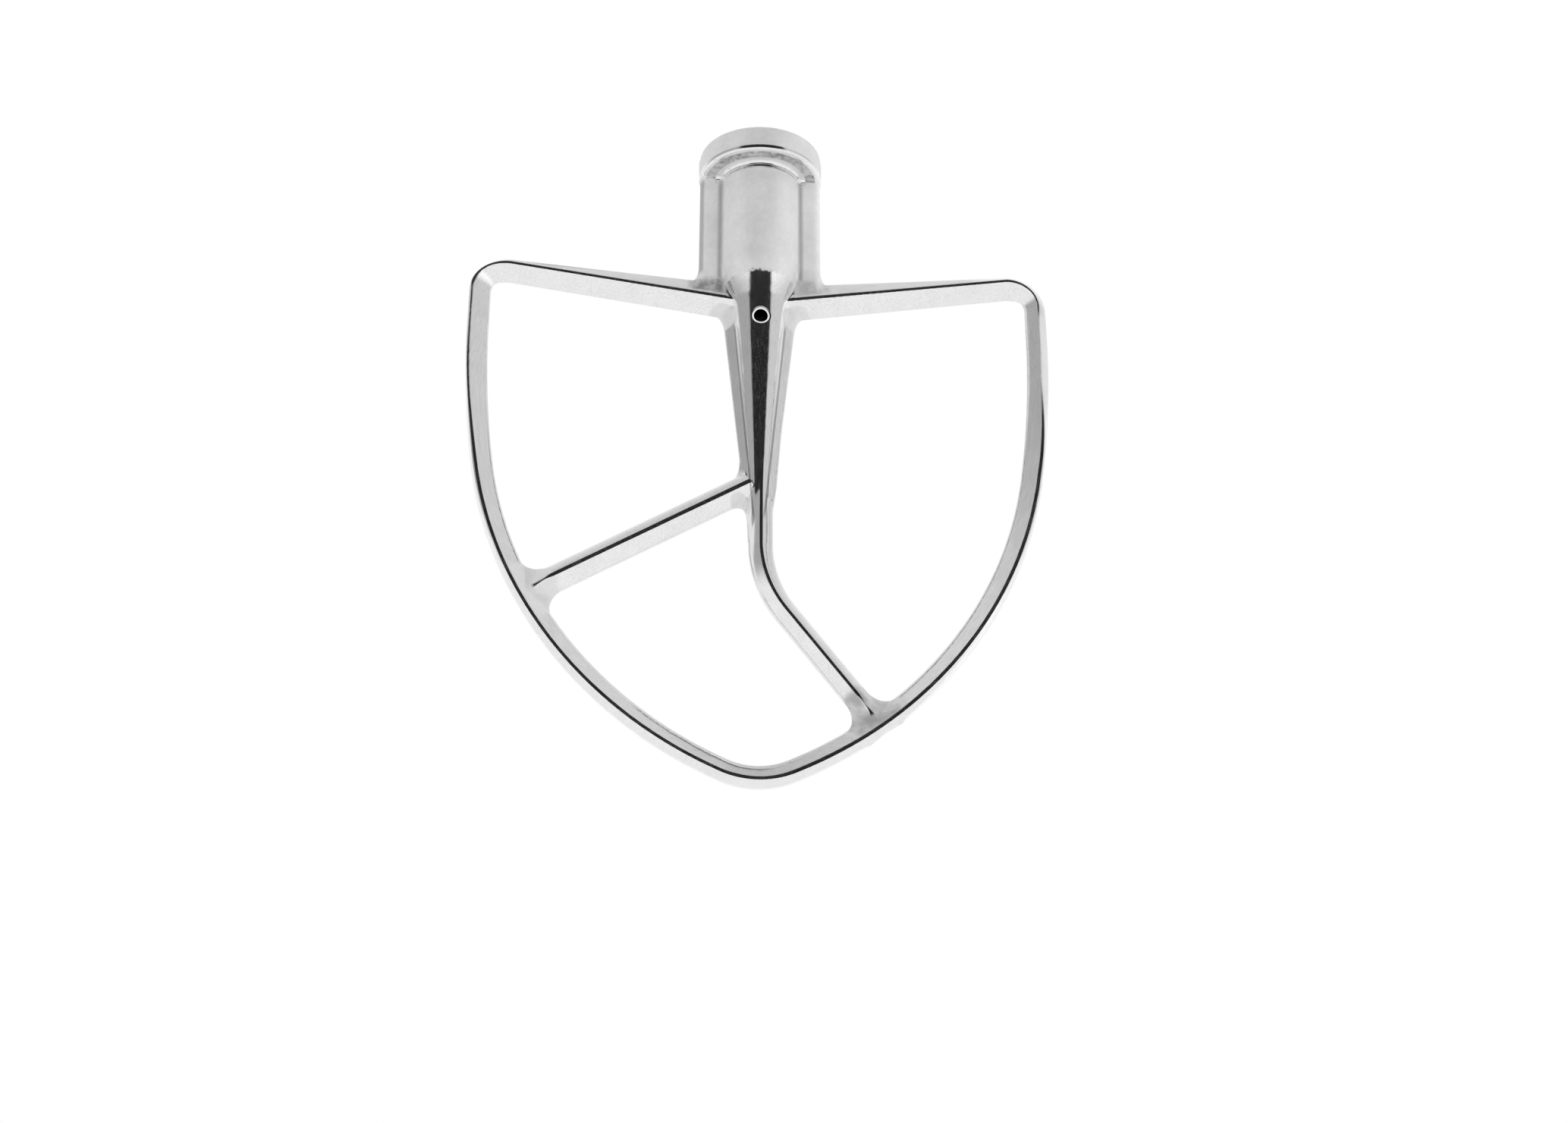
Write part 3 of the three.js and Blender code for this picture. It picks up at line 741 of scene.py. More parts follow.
def close_with_caps(part, planes):
    """Flat caps over the open seams of one piece; returns how many faces are skin."""
    skin_faces = len(part.faces)
    by_plane = {}
    at_corner = {}
    seen = {}
    for edge in part.edges:
        if not edge.is_boundary:
            continue
        ends = np.array([corner.co for corner in edge.verts])
        off = [np.abs(plane.distance(ends)).max() for plane in planes]
        which = int(np.argmin(off))
        by_plane.setdefault(which, []).append(edge)
        for corner in edge.verts:
            first = seen.setdefault(corner, which)
            if first != which:
                at_corner.setdefault(tuple(sorted((first, which))), []).append(corner)
    for pair, corners in at_corner.items():
        corners.sort(key=lambda corner: corner.co.y)
        for a, b in zip(corners[0::2], corners[1::2]):
            bridge = part.edges.get((a, b)) or part.edges.new((a, b))
            for which in pair:
                by_plane.setdefault(which, []).append(bridge)
    for edges in by_plane.values():
        bmesh.ops.triangle_fill(part, use_beauty=False, use_dissolve=False, edges=edges)
    return skin_faces


def make_piece(node, faces, points, slopes, planes):
    """Closed object for one CAD node, shaded with the field's own slope on its skin."""
    used, local = np.unique(np.concatenate(faces), return_inverse=True)
    part = bmesh.new()
    corners = [part.verts.new(points[i]) for i in used]
    start = 0
    for face in faces:
        part.faces.new([corners[i] for i in local[start : start + len(face)]])
        start += len(face)
    skin_faces = close_with_caps(part, planes)
    for face in part.faces:
        face.smooth = True
    bmesh.ops.recalc_face_normals(part, faces=part.faces[:])
    name = "skin_" + node
    mesh = bpy.data.meshes.new(name)
    part.to_mesh(mesh)
    part.free()
    loop_corners = np.zeros(len(mesh.loops), dtype=np.int64)
    mesh.loops.foreach_get("vertex_index", loop_corners)
    normals = slopes[used][loop_corners]
    for polygon in mesh.polygons[skin_faces:]:
        normals[polygon.loop_start : polygon.loop_start + polygon.loop_total] = polygon.normal
    mesh.normals_split_custom_set(normals.tolist())
    mesh.transform(SHRINK)
    piece = bpy.data.objects.new(name, mesh)
    bpy.context.scene.collection.objects.link(piece)
    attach(piece, "root")
    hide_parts(node)
    return piece


def build_casting():
    """Meshes the skin once and makes one closed piece for each CAD node."""
    boxes = [node_box(node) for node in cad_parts]
    low = np.min([box[0] for box in boxes], axis=0) - MARGIN
    high = np.max([box[1] for box in boxes], axis=0) + MARGIN
    points, quads = surface_net(casting, low, high)
    points = settle(casting, points, 2)
    points = settle(casting, relax(points, quads), 2)
    planes = seams()
    skin = cut_along_seams(points, quads, planes)
    points = np.array([corner.co for corner in skin.verts])
    skin.verts.index_update()
    faces = [np.array([corner.index for corner in face.verts]) for face in skin.faces]
    middles = np.array([face.calc_center_median() for face in skin.faces])
    skin.free()
    slopes = gradient(casting, points)
    slopes /= np.linalg.norm(slopes, axis=1)[:, None]
    labels = member_of(middles)
    sides = np.where(labels >= PAIRED_FROM, np.sign(middles[:, 0]), 1.0)
    made = {}
    for index in range(len(PIECES)):
        for side in (1.0, -1.0):
            chosen = np.nonzero((labels == index) & (sides == side))[0]
            if len(chosen) == 0:
                continue
            node = piece_name(index, side)
            made[node] = make_piece(node, [faces[i] for i in chosen], points, slopes, planes)
    return made


# ---------------------------------------------------------------- materials
# Where the finish changes, in millimetres. Pairs are where a change starts and ends; triples are
# the low and high edge of a band and how soft its edges are.
SATIN_END_Z, SATIN_SOFT, SATIN_REACH = -39.3, 0.6, (24.0, 18.0)
SATIN_RAGGED, RAGGED_NOISE = 2.7, (1.3, 3.0)
RIDGE_Z, RIDGE_SLOPE, OVER_RIDGE = -43.9, 0.147, (0.2, 0.6)
ARM_START, ARM_END = (8.2, 9.2), (62.0, 50.0)
EDGE_Z, EDGE_OUT = (-7.2, -5.75, 0.1), (14.3, 14.5)
NECK_Z, NECK_OUT = (-9.0, -7.2, 0.12), (12.1, 11.9)
# Rough cast skin, also darkened with painted shade: under the collar and where the webs end on the arms
UNDER_Z, UNDER_OUT = (-7.7, -6.8, 0.1), (12.0, 14.5, 0.2)
WEB_FOOT_Z, WEB_FOOT_OVER, WEB_FOOT_OUT = (-37.0, -39.0), (0.3, 1.5), (9.0, 18.0, 1.0)
WEB_FOOT_LEFT, WEB_FOOT_RIGHT, WEB_FOOT_X = 1.0, 0.45, (-9.0, 9.0)
# Painted shade inside the drain hole
DRAIN_WALL, FRONT_HALF = (1.82, 1.74), (1.0, 0.0)
# Painted highlight: a bright ring, not metal, round the front of the drain hole's mouth
DRAIN_RIM, DRAIN_RIM_Y = (0.08, 0.55, 0.06), (-4.0, -5.0)
# Painted shade inside the bore and its pilot, which are also rough
BORE_WALL, BORE_FLOOR = (7.0, 6.8), (-35.0, -34.8)
PILOT_WALL, PILOT_FLOOR = (3.6, 3.3), (-54.5, -53.9)
# Painted shade: creases beside the webs, the left web's rim and the folds beside the spindle
CREASE_OUT, CREASE_Z = (9.9, 10.9, 0.6), (-38.0, -9.0, 0.8)
WEB_RIM_X, WEB_RIM_Z, WEB_RIM_SHADE = (-14.3, -15.0), (-36.0, -8.0, 1.0), 0.8
FOLD_X, FOLD_AT_Z, FOLD_SLOPE, FOLD_SOFT = 5.1, -66.0, 0.0951, 0.12
FOLD_Z, FOLD_HALF_WIDTHS = (-106.0, -52.0, 1.5), (0.2, 0.26)
# Painted shade: a short dark line across the neck
NECK_SHADE_Z, NECK_SHADE_REACH = (-8.65, -8.05, 0.1), (5.0, 1.5)
FOOT_SPOT, OFF_STRUT_RIDGE = 9.0, (0.3, 0.8)
PAST_LOOP, OFF_LOOP_RIDGE = (4.8, 3.8), (0.9, 1.5)
ARM_SPOT, ARM_SPOT_RADIUS = (9.6, -49.2), 4.0
STRUT_SPOT, STRUT_SPOT_RADIUS = (-4.8, -101.8), 2.5
SPOT_CORE = 0.75
DULL_END_Z, DULL_END_SHIFT, DULL_FADE = -63.0, 6.0, (-9.0, 6.0)
DULL_START_Z, DULL_START_SHIFT, DULL_RISE = -43.0, 3.0, (2.0, -2.0)
DULL_OVER_RIDGE = (-0.45, -0.1)
# Painted light: paler webs, the right one most, and paler below the collar
WEB_OUT, WEB_LOW_Z, WEB_HIGH_Z = (10.2, 11.4), (-37.0, -33.0), (-6.0, -7.5)
WEB_SIDES, BARREL_Z = (-12.0, 12.0), (-6.5, -8.5)
# Painted shade on the lower strut's foot
FOOT_SHADE_RADIUS, FOOT_SHADE_BACK, FOOT_SHADE_OFF_LOOP = 8.0, 2.0, (1.4, 2.4)

# Scale, detail and roughness of the noises, for one millimetre as the unit
CLOUD_NOISE, PATCH_NOISE, GRAIN_NOISE = (0.22, 4.0), (0.9, 5.0, 0.65), (5.0, 2.0, 0.6)
WAVE_NOISE, LINE_NOISE = (0.16, 1.0), (1.0, 3.0)
LINE_CENTRE, LINES_ALONG, LINES_ACROSS = 75.0, 6.0, 3.5
SPINDLE_LINES, SPINDLE_REACH = (6.0, 6.0, 0.08), (9.5, 8.5)

# How rough, deep and dark each finish is
NOISE_RANGE, CLOUD_RANGE, LINE_RANGE, CAST_SHADE_RANGE = (0.3, 0.7), (0.2, 0.8), (0.35, 0.75), (0.36, 0.6)
POLISHED_ROUGHNESS, SATIN_SPREAD, CAST_ROUGHNESS = (0.06, 0.16), 0.06, 0.55
SATIN_GRAIN, LINE_RELIEF, POLISHED_PATCH, CAST_PATCH = 0.55, 0.25, 0.1, 2.2
WAVE_DEPTH, GRAIN_DEPTH, GRAIN_STRENGTH = 0.00006, 0.00003, 0.5
TONE_SPREAD, LINE_SHADE, SATIN_TONES = (-0.04, 0.03), 0.12, (0.76, 0.88)
# How much the painted light lifts the left and right web, and all below the collar
WEB_LIGHT_LEVELS, BARREL_LIGHT_LEVEL = (1.08, 1.15), 1.04
# How much painted shade darkens the creases, the line across the neck and the cast skin
CREASE_SHADE, NECK_SHADE_DEPTH, CAST_SHADE_MIX, CAST_SHADE_LEVELS = 0.5, 0.93, 0.4, (0.66, 0.24)
# How dark the painted shade on the lower strut's foot is, over the cloud noise
FOOT_SHADE_RANGE, FOOT_SHADE_LEVELS = (0.35, 0.65), (0.42, 0.14)
# Painted shade inside the bore and the drain hole, and the tone of the painted highlight round the drain
# hole
BORE_SHADE, DRAIN_RIM_HIGHLIGHT, DRAIN_HOLE_SHADE = 0.35, 0.98, 0.012
SATIN_METAL, LINE_METAL_RANGE, LINE_METAL = 0.3, (0.45, 0.7), 0.955


def node_tree(name):
    """New material with an empty node tree."""
    material = bpy.data.materials.new(name)
    material.use_nodes = True
    tree = material.node_tree
    tree.nodes.clear()
    return material, tree


class Nodes:
    """Short ways to add and join shader nodes."""

    def __init__(self, tree):
        self.tree = tree

    def add(self, kind, **settings):
        node = self.tree.nodes.new(kind)
        for key, value in settings.items():
            setattr(node, key, value)
        return node

    def feed(self, socket, value):
        if isinstance(value, bpy.types.NodeSocket):
            self.tree.links.new(value, socket)
        else:
            socket.default_value = value

    def math(self, operation, a, b=0.0, clamp=False):
        node = self.add("ShaderNodeMath", operation=operation, use_clamp=clamp)
        self.feed(node.inputs[0], a)
        self.feed(node.inputs[1], b)
        return node.outputs[0]

    def plus(self, a, b):
        return self.math("ADD", a, b)

    def minus(self, a, b):
        return self.math("SUBTRACT", a, b)

    def times(self, first, *others):
        for other in others:
            first = self.math("MULTIPLY", first, other)
        return first

    def most(self, first, *others):
        for other in others:
            first = self.math("MAXIMUM", first, other)
        return first

    def span(self, value, low, high, to_low=0.0, to_high=1.0, smooth=True):
        kind = "SMOOTHSTEP" if smooth else "LINEAR"
        node = self.add("ShaderNodeMapRange", interpolation_type=kind, clamp=True)
        for socket, number in zip(node.inputs, (value, low, high, to_low, to_high)):
            self.feed(socket, number)
        return node.outputs[0]

    def band(self, value, low, high, soft):
        """One between two values, falling off softly outside."""
        rise = self.span(value, low - soft, low + soft)
        fall = self.span(value, high - soft, high + soft)
        return self.math("SUBTRACT", rise, fall, clamp=True)

    def noise(self, vector, scale, detail=2.0, roughness=0.5):
        node = self.add("ShaderNodeTexNoise")
        self.feed(node.inputs["Vector"], vector)
        self.feed(node.inputs["Scale"], scale)
        self.feed(node.inputs["Detail"], detail)
        self.feed(node.inputs["Roughness"], roughness)
        return node.outputs["Fac"]

    def hypot(self, a, b):
        return self.math("SQRT", self.plus(self.times(a, a), self.times(b, b)))

    def stretch(self, vector, factors):
        node = self.add("ShaderNodeVectorMath", operation="MULTIPLY")
        self.feed(node.inputs[0], vector)
        node.inputs[1].default_value = factors
        return node.outputs[0]

    def mix(self, factor, a, b):
        node = self.add("ShaderNodeMix", data_type="FLOAT")
        self.feed(node.inputs[0], factor)
        self.feed(node.inputs[2], a)
        self.feed(node.inputs[3], b)
        return node.outputs[0]

    def darken(self, shade, mask, amount):
        return self.times(shade, self.minus(1.0, self.times(mask, amount)))


class Place:
    """Position on the casting in millimetres, as sockets."""

    def __init__(self, n):
        metres = n.add("ShaderNodeTexCoord").outputs["Object"]
        self.vector = n.stretch(metres, (1.0 / MM,) * 3)
        split = n.add("ShaderNodeSeparateXYZ")
        n.feed(split.inputs[0], self.vector)
        self.x, self.y, self.z = split.outputs
        self.reach = n.math("ABSOLUTE", self.x)
        self.r = n.hypot(self.x, self.y)
        self.above_drain = n.minus(self.z, DRAIN_Z)
        self.off_drain = n.hypot(self.x, self.above_drain)
        centre = OUTLINE.belly
        self.from_belly = n.hypot(n.minus(self.reach, centre[0]), n.minus(self.z, centre[1]))


def satin_mask(n, at, over):
    """Blasted hub, tops of the arms and soft spots, but neither of the collar's turned bands."""
    ragged = n.times(n.minus(n.noise(at.vector, *RAGGED_NOISE), 0.5), SATIN_RAGGED)
    core = n.span(n.plus(at.z, ragged), SATIN_END_Z - SATIN_SOFT, SATIN_END_Z + SATIN_SOFT)
    core = n.times(core, n.span(at.reach, *SATIN_REACH))
    arm_top = n.times(n.span(at.reach, *ARM_START), n.span(at.reach, *ARM_END), n.span(over, *OVER_RIDGE))
    edge = n.times(n.band(at.z, *EDGE_Z), n.span(at.r, *EDGE_OUT))
    neck = n.times(n.band(at.z, *NECK_Z), n.span(at.r, *NECK_OUT))
    satin = n.most(core, arm_top, soft_spots(n, at))
    return n.times(satin, n.minus(1.0, n.most(edge, neck)))


def cast_skin_and_shade_mask(n, at, over):
    """Rough skin under the collar and where the webs end on the arms, more of it on the left, also darkened
    there with painted shade.
    """
    under = n.times(n.band(at.z, *UNDER_Z), n.band(at.r, *UNDER_OUT))
    foot = n.times(n.span(at.z, *WEB_FOOT_Z), n.span(over, *WEB_FOOT_OVER), n.band(at.reach, *WEB_FOOT_OUT))
    foot = n.times(foot, n.span(at.x, *WEB_FOOT_X, WEB_FOOT_LEFT, WEB_FOOT_RIGHT))
    return n.most(under, foot)


def hole_masks(n, at):
    """Inside of the drain hole, and inside of the bore and its pilot, where shade is painted in; the bore's
    inside is also rough.
    """
    in_drain = n.times(n.span(at.off_drain, *DRAIN_WALL), n.span(at.y, *FRONT_HALF))
    wide = n.times(n.span(at.r, *BORE_WALL), n.span(at.z, *BORE_FLOOR))
    narrow = n.times(n.span(at.r, *PILOT_WALL), n.span(at.z, *PILOT_FLOOR))
    return in_drain, n.most(wide, narrow)


def painted_crease_shade(n, at):
    """Painted shade in the creases beside the webs, on the left web's rim and in the folds beside the
    spindle.
    """
    crease = n.times(n.band(at.reach, *CREASE_OUT), n.band(at.z, *CREASE_Z))
    rim = n.times(n.span(at.x, *WEB_RIM_X), n.band(at.z, *WEB_RIM_Z), WEB_RIM_SHADE)
    middle = n.plus(n.times(n.minus(at.z, FOLD_AT_Z), FOLD_SLOPE), FOLD_X)
    half = n.span(at.x, -1.0, 1.0, *FOLD_HALF_WIDTHS)
    beside = n.minus(n.math("ABSOLUTE", n.minus(at.reach, middle)), half)
    fold = n.times(n.span(beside, FOLD_SOFT, -FOLD_SOFT), n.band(at.z, *FOLD_Z))
    return n.most(crease, rim, fold)


def painted_neck_shade(n, at):
    """Painted shade: a short dark line across the neck, at the front and back."""
    return n.times(n.band(at.z, *NECK_SHADE_Z), n.span(at.reach, *NECK_SHADE_REACH), n.span(at.r, *NECK_OUT))


def near_foot(n, at, start, way, centre):
    """The cast joint of a strut and the loop, but neither of the two ridges that run into it."""
    inwards = n.minus(BELLY_RADIUS - CROWN_LOOP, at.from_belly)
    x, z = n.minus(at.x, start[0]), n.minus(at.z, start[1])
    side = n.minus(n.times(x, way[1]), n.times(z, way[0]))
    off_ridge = n.span(n.math("ABSOLUTE", side), *OFF_STRUT_RIDGE)
    keep = n.most(off_ridge, n.span(inwards, *PAST_LOOP))
    near = spot(n, at.x, at.z, centre, FOOT_SPOT)
    return n.times(keep, near, n.span(inwards, *OFF_LOOP_RIDGE))


def spot(n, x, z, centre, radius):
    """Round patch with a soft edge."""
    away = n.hypot(n.minus(x, centre[0]), n.minus(z, centre[1]))
    return n.span(away, radius, radius * SPOT_CORE)


def dull_sides(n, at):
    """Outer facets of the loop's sides, down to where the ridge sharpens."""
    turned = n.math("SIGN", n.times(at.x, at.y))
    spread = n.span(turned, -1.0, 1.0, CROWN_WIDE - CROWN_LOOP, CROWN_NARROW - CROWN_LOOP)
    crown = n.plus(n.times(n.span(at.z, CROWN_END_Z, CROWN_WIDE_Z), spread), CROWN_LOOP)
    down = n.math("MINIMUM", n.minus(at.z, OUTLINE.flank[1]), 0.0)
    flank = n.hypot(n.minus(at.reach, OUTLINE.flank[0]), down)
    over_ridge = n.plus(n.minus(flank, FLANK_RADIUS), crown)
    below = n.minus(at.z, n.plus(n.times(turned, DULL_END_SHIFT), DULL_END_Z))
    start = n.minus(at.z, n.plus(n.times(turned, DULL_START_SHIFT), DULL_START_Z))
    dull = n.times(n.span(below, *DULL_FADE), n.span(over_ridge, *DULL_OVER_RIDGE))
    return n.times(dull, n.span(start, *DULL_RISE))


def soft_spots(n, at):
    """Joints and ridges that the polishing wheel does not reach."""
    return n.most(
        near_foot(n, at, CROSS_START, CROSS_WAY, CROSS_END),
        near_foot(n, at, LEG_START, LEG_WAY, LEG_END),
        spot(n, at.reach, at.z, ARM_SPOT, ARM_SPOT_RADIUS),
        spot(n, at.x, at.z, STRUT_SPOT, STRUT_SPOT_RADIUS),
        dull_sides(n, at),
    )


def polishing_lines(n, at):
    """Fine lines round the blade's middle, and along the spindle near the axis."""
    height = n.plus(at.z, LINE_CENTRE)
    ring = n.add("ShaderNodeCombineXYZ")
    n.feed(ring.inputs[0], n.times(n.math("ARCTAN2", at.x, height), LINES_ALONG))
    n.feed(ring.inputs[1], n.times(n.hypot(at.x, height), LINES_ACROSS))
    n.feed(ring.inputs[2], n.times(at.y, LINES_ACROSS))
    round_lines = n.noise(ring.outputs[0], *LINE_NOISE)
    long_lines = n.noise(n.stretch(at.vector, SPINDLE_LINES), *LINE_NOISE)
    return n.mix(n.span(at.reach, *SPINDLE_REACH), round_lines, long_lines)


def steel_normal(n, at, satin, cast, patch, lines):
    """Slow waves of the casting, with the grain of each finish on them."""
    relief = n.times(n.noise(at.vector, *GRAIN_NOISE), n.mix(satin, 0.0, SATIN_GRAIN))
    relief = n.plus(relief, n.times(lines, LINE_RELIEF))
    relief = n.plus(relief, n.times(patch, n.mix(cast, POLISHED_PATCH, CAST_PATCH)))
    coarse, fine = n.add("ShaderNodeBump"), n.add("ShaderNodeBump")
    coarse.inputs["Strength"].default_value = 1.0
    coarse.inputs["Distance"].default_value = WAVE_DEPTH
    n.feed(coarse.inputs["Height"], n.noise(at.vector, *WAVE_NOISE))
    fine.inputs["Strength"].default_value = GRAIN_STRENGTH
    fine.inputs["Distance"].default_value = GRAIN_DEPTH
    n.feed(fine.inputs["Height"], relief)
    n.feed(fine.inputs["Normal"], coarse.outputs[0])
    return fine.outputs[0]


def painted_foot_shade(n, at, cloud):
    """Painted shade, in blotches, on the lower strut's foot where it joins the loop."""
    foot = moved(LEG_START, LEG_WAY, LOWER_LEG - FOOT_SHADE_BACK)
    foot_spot_shade = n.times(spot(n, at.x, at.z, foot, FOOT_SHADE_RADIUS), n.span(cloud, *FOOT_SHADE_RANGE, *FOOT_SHADE_LEVELS))
    start, end = FOOT_SHADE_OFF_LOOP
    return n.times(foot_spot_shade, n.span(at.from_belly, BELLY_RADIUS - start, BELLY_RADIUS - end))


def painted_web_light(n, at):
    """Painted light: paler webs, the right one most, and a slightly paler hub under the collar."""
    web = n.times(n.span(at.reach, *WEB_OUT), n.span(at.z, *WEB_LOW_Z), n.span(at.z, *WEB_HIGH_Z))
    barrel = n.span(at.z, *BARREL_Z, 1.0, BARREL_LIGHT_LEVEL)
    return n.mix(web, barrel, n.span(at.x, *WEB_SIDES, *WEB_LIGHT_LEVELS))


def steel(name, satin_roughness, tone):
    """Stainless steel: blasted on the hub and arm tops, as cast in the corners, polished below, with shade
    and light painted into the colour at fixed places.
    """
    material, tree = node_tree(name)
    n = Nodes(tree)
    at = Place(n)
    ridge = n.plus(n.times(at.reach, RIDGE_SLOPE), RIDGE_Z - ARM_TOP_INNER[0] * RIDGE_SLOPE)
    over = n.minus(at.z, ridge)
    satin, cast = satin_mask(n, at, over), cast_skin_and_shade_mask(n, at, over)
    in_drain, in_bore = hole_masks(n, at)
    cloud = n.noise(at.vector, *CLOUD_NOISE)
    patch = n.noise(at.vector, *PATCH_NOISE)
    lines = polishing_lines(n, at)

    polished = n.span(n.mix(0.5, patch, lines), *NOISE_RANGE, *POLISHED_ROUGHNESS, smooth=False)
    blasted = (satin_roughness - SATIN_SPREAD, satin_roughness + SATIN_SPREAD)
    roughness = n.mix(satin, polished, n.span(cloud, *NOISE_RANGE, *blasted, smooth=False))
    roughness = n.mix(n.most(cast, in_bore), roughness, CAST_ROUGHNESS)

    tones = (tone + TONE_SPREAD[0], tone + TONE_SPREAD[1])
    shade = n.span(cloud, *CLOUD_RANGE, *tones, smooth=False)
    shade = n.minus(shade, n.span(lines, *LINE_RANGE, 0.0, LINE_SHADE))
    mottle = n.span(n.mix(0.5, cloud, patch), *NOISE_RANGE, *SATIN_TONES, smooth=False)
    # Satin mottle, then painted light: webs lifted, the right one most, and all below the collar slightly
    shade = n.times(n.mix(satin, shade, mottle), painted_web_light(n, at))
    # Painted shade in the creases, on the left web's rim and in the folds
    shade = n.darken(shade, painted_crease_shade(n, at), CREASE_SHADE)
    # Painted shade: the dark line across the neck
    shade = n.darken(shade, painted_neck_shade(n, at), NECK_SHADE_DEPTH)
    # Painted shade, in blotches, on the cast skin under the collar and where the webs end on the arms
    shade = n.darken(shade, cast, n.span(n.mix(CAST_SHADE_MIX, cloud, patch), *CAST_SHADE_RANGE, *CAST_SHADE_LEVELS))
    # Painted shade on the lower strut's foot
    shade = n.darken(shade, painted_foot_shade(n, at, cloud), 1.0)
    # Painted shade inside the bore and its pilot
    shade = n.mix(in_bore, shade, BORE_SHADE)
    # Painted highlight: a near white ring, not metal, round the front of the drain hole
    low, high, soft = DRAIN_RIM
    rim = n.band(at.off_drain, DRAIN_RADIUS + low, DRAIN_RADIUS + high, soft)
    rim = n.times(rim, n.span(at.y, *DRAIN_RIM_Y))
    shade = n.mix(rim, shade, DRAIN_RIM_HIGHLIGHT)
    # Painted shade: the inside of the drain hole almost black
    shade = n.mix(in_drain, shade, DRAIN_HOLE_SHADE)
    colour = n.add("ShaderNodeCombineColor")
    for socket in colour.inputs:
        n.feed(socket, shade)

    metal = n.mix(satin, n.span(lines, *LINE_METAL_RANGE, 1.0, LINE_METAL), SATIN_METAL)
    shader = n.add("ShaderNodeBsdfPrincipled")
    # The painted highlight round the drain hole is not metal
    n.feed(shader.inputs["Metallic"], n.mix(rim, metal, 0.0))
    n.feed(shader.inputs["Base Color"], colour.outputs[0])
    n.feed(shader.inputs["Roughness"], roughness)
    n.feed(shader.inputs["Normal"], steel_normal(n, at, satin, cast, patch, lines))
    output = n.add("ShaderNodeOutputMaterial")
    n.feed(output.inputs[0], shader.outputs[0])
    return material


# ---------------------------------------------------------------- studio
FLOOR_Z, FLOOR_HALF, FLOOR_TONE = -1.2, 6.0, 0.92
# The unlit opening in front: half its width above and at the horizon, its lower and upper edge,
# and how soft its edges are, all in radians
DARK_WIDTH, DARK_WIDTH_LOW, DARK_WIDENS = 0.74, 0.5, (-0.15, 0.3)
DARK_LOW, DARK_HIGH, DARK_SOFT, DARK_LIGHT = -0.26, 1.3, 0.07, 0.018
# Brightness of the rest, and between which direction cosines each part comes in
LEFT_LIGHT, RIGHT_LIGHT, SIDE_SPAN = 0.37, 0.6, (-0.8, 0.8)
HIGH_LIGHT, HIGH_SPAN = 0.66, (0.45, 0.88)
ABOVE_LIGHT, ABOVE_SPAN = 0.5, (0.9, 0.985)
BEHIND_LIGHT, BEHIND_SPAN = 0.92, (0.1, 0.7)
HORIZON_LIGHTS, HORIZON_SIDES, HORIZON_SPAN = (0.84, 1.0), (-0.9, 0.6), (0.28, -0.02)
DIFFUSE_LIGHTS = (0.78, 1.12)


def floor():
    """Plain pale floor, well below the part."""
    mesh = bpy.data.meshes.new("floor")
    corners = [(-1, -1), (1, -1), (1, 1), (-1, 1)]
    mesh.from_pydata([(x * FLOOR_HALF, y * FLOOR_HALF, FLOOR_Z) for x, y in corners], [], [(0, 1, 2, 3)])
    plane = bpy.data.objects.new("floor", mesh)
    bpy.context.scene.collection.objects.link(plane)
    material, tree = node_tree("floor_pale")
    n = Nodes(tree)
    shader = n.add("ShaderNodeBsdfDiffuse")
    shader.inputs[0].default_value = (FLOOR_TONE, FLOOR_TONE, FLOOR_TONE, 1.0)
    output = n.add("ShaderNodeOutputMaterial")
    n.feed(output.inputs[0], shader.outputs[0])
    mesh.materials.append(material)


def studio_level(n, x, y, z):
    """Brightness of the studio in a direction: pale all round, with a dark opening in front."""
    turn = n.math("ABSOLUTE", n.math("ARCTAN2", x, n.times(y, -1.0)))
    lift = n.math("ARCSINE", z)
    width = n.span(lift, *DARK_WIDENS, DARK_WIDTH_LOW, DARK_WIDTH)
    opening = n.span(n.minus(turn, width), DARK_SOFT, -DARK_SOFT)
    opening = n.times(opening, n.band(lift, DARK_LOW, DARK_HIGH, DARK_SOFT))
    level = n.span(x, *SIDE_SPAN, LEFT_LIGHT, RIGHT_LIGHT)
    level = n.mix(n.span(z, *HIGH_SPAN), level, HIGH_LIGHT)
    level = n.mix(n.span(z, *ABOVE_SPAN), level, ABOVE_LIGHT)
    level = n.mix(n.span(y, *BEHIND_SPAN), level, BEHIND_LIGHT)
    level = n.mix(n.span(z, *HORIZON_SPAN), level, n.span(x, *HORIZON_SIDES, *HORIZON_LIGHTS))
    return n.mix(opening, level, DARK_LIGHT)


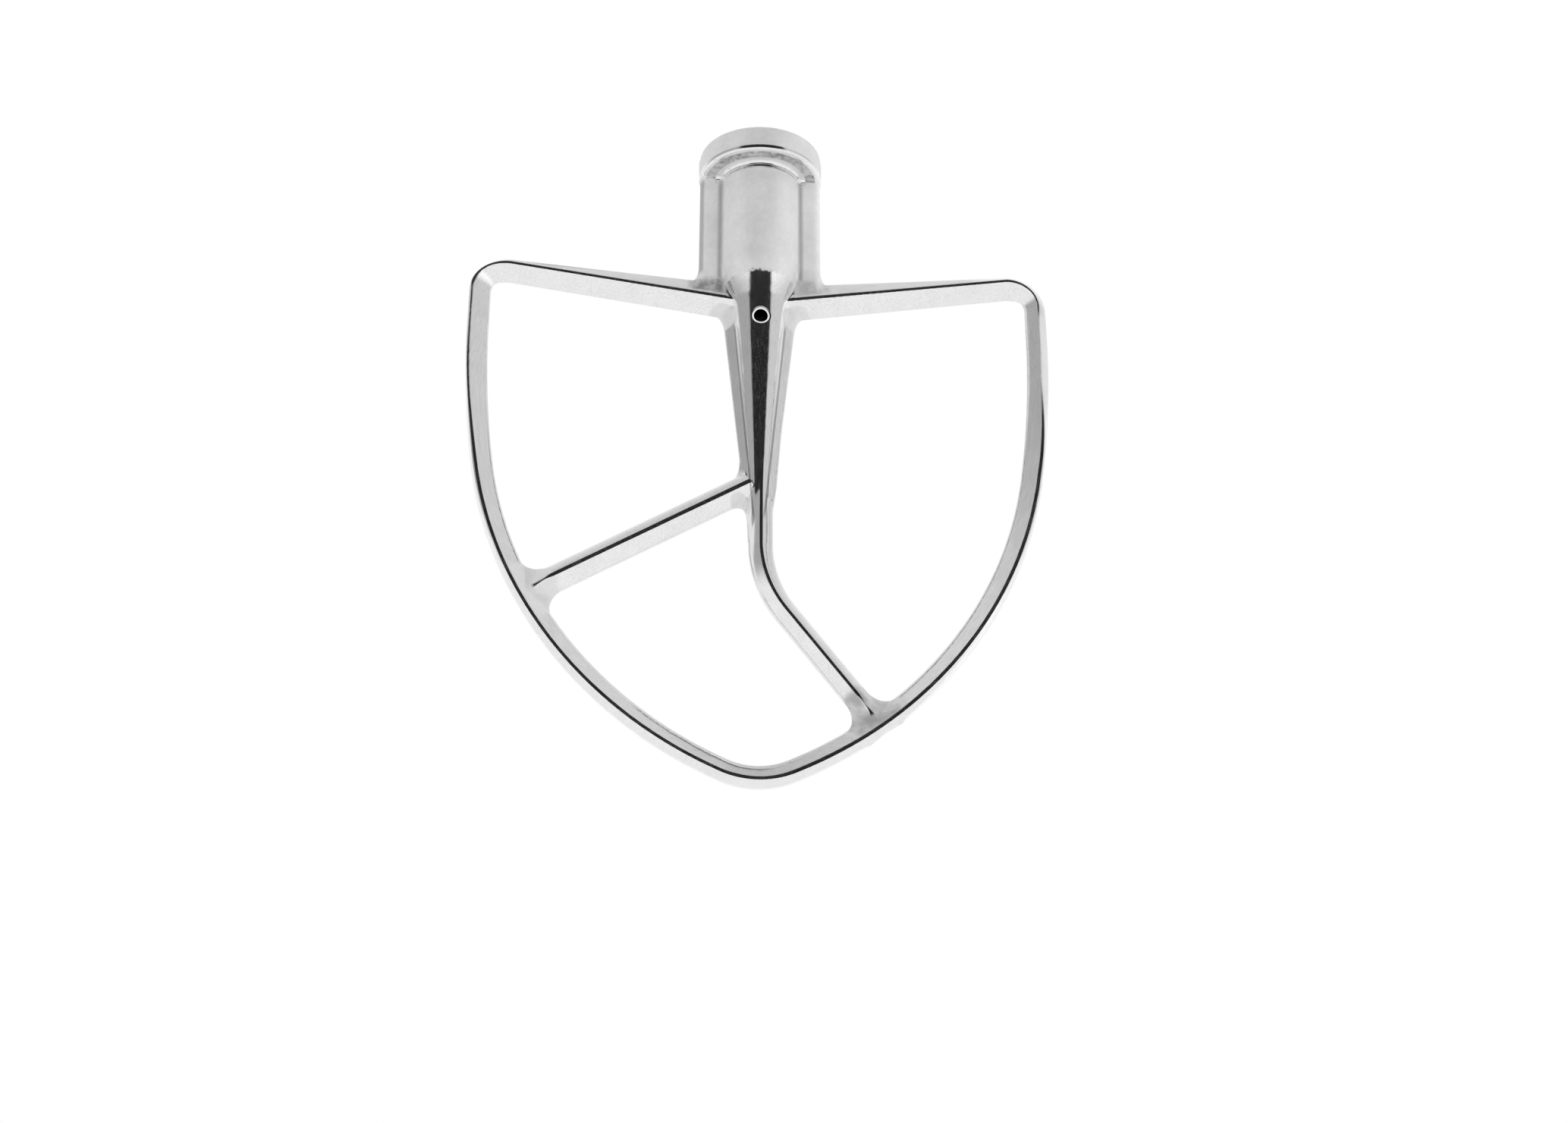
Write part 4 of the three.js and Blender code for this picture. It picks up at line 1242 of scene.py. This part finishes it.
def studio_world():
    """Soft light from all round, with a slope from left to right on matt surfaces; white backdrop."""
    world = bpy.data.worlds.new("studio")
    world.use_nodes = True
    tree = world.node_tree
    tree.nodes.clear()
    n = Nodes(tree)
    split = n.add("ShaderNodeSeparateXYZ")
    n.feed(split.inputs[0], n.add("ShaderNodeTexCoord").outputs["Generated"])
    x, y, z = split.outputs
    rays = n.add("ShaderNodeLightPath").outputs
    slope = n.span(x, -1.0, 1.0, *DIFFUSE_LIGHTS, smooth=False)
    light, seen = n.add("ShaderNodeBackground"), n.add("ShaderNodeBackground")
    n.feed(light.inputs["Strength"], n.mix(rays["Is Diffuse Ray"], studio_level(n, x, y, z), slope))
    for background in (light, seen):
        background.inputs["Color"].default_value = (1.0, 1.0, 1.0, 1.0)
    mix = n.add("ShaderNodeMixShader")
    n.feed(mix.inputs[0], rays["Is Camera Ray"])
    n.feed(mix.inputs[1], light.outputs[0])
    n.feed(mix.inputs[2], seen.outputs[0])
    output = n.add("ShaderNodeOutputWorld")
    n.feed(output.inputs[0], mix.outputs[0])
    bpy.context.scene.world = world


# ---------------------------------------------------------------- camera
AIM = Vector((0.0, 0.0, -0.08807))
CAMERA_DISTANCE = 0.5865
CAMERA_BELOW, CAMERA_LEFT = math.radians(28.3), math.radians(3.3)
CAMERA_PITCH, CAMERA_YAW = math.radians(-2.551), math.radians(-0.625)
CAMERA_ROLL = math.radians(0.3)
LENS = 54.34


def camera():
    """Camera in front of the part and below it, looking up at it."""
    data = bpy.data.cameras.new("camera")
    data.lens = LENS
    data.clip_start = 0.01
    holder = bpy.data.objects.new("camera", data)
    way = Vector((
        -math.sin(CAMERA_LEFT) * math.cos(CAMERA_BELOW),
        -math.cos(CAMERA_LEFT) * math.cos(CAMERA_BELOW),
        -math.sin(CAMERA_BELOW),
    ))
    holder.location = AIM + way * CAMERA_DISTANCE
    turn = (-way).to_track_quat("-Z", "Y").to_matrix()
    turn = turn @ Matrix.Rotation(CAMERA_YAW, 3, "Y") @ Matrix.Rotation(CAMERA_PITCH, 3, "X")
    turn = turn @ Matrix.Rotation(CAMERA_ROLL, 3, "Z")
    holder.rotation_euler = turn.to_euler()
    bpy.context.scene.collection.objects.link(holder)
    bpy.context.scene.camera = holder


# ---------------------------------------------------------------- put together
# Satin roughness and tone of each slot, and the nodes whose slot is not the polished one
FINISHES = {
    "satin_steel": (0.48, 0.95),
    "cast_steel": (0.56, 0.93),
    "polished_steel": (0.48, 0.95),
}
SLOTS = {
    "satin_steel": ("hub_collar", "hub_barrel", "hub_shoulder"),
    "cast_steel": ("hub_web_left", "hub_web_right"),
}


def main():
    pieces = build_casting()
    looks = {slot: steel(slot, *finish) for slot, finish in FINISHES.items()}
    for node, piece in pieces.items():
        slot = next((name for name, nodes in SLOTS.items() if node in nodes), "polished_steel")
        piece.data.materials.append(looks[slot])
    floor()
    studio_world()
    camera()
    bpy.context.scene.view_settings.view_transform = "Standard"


main()
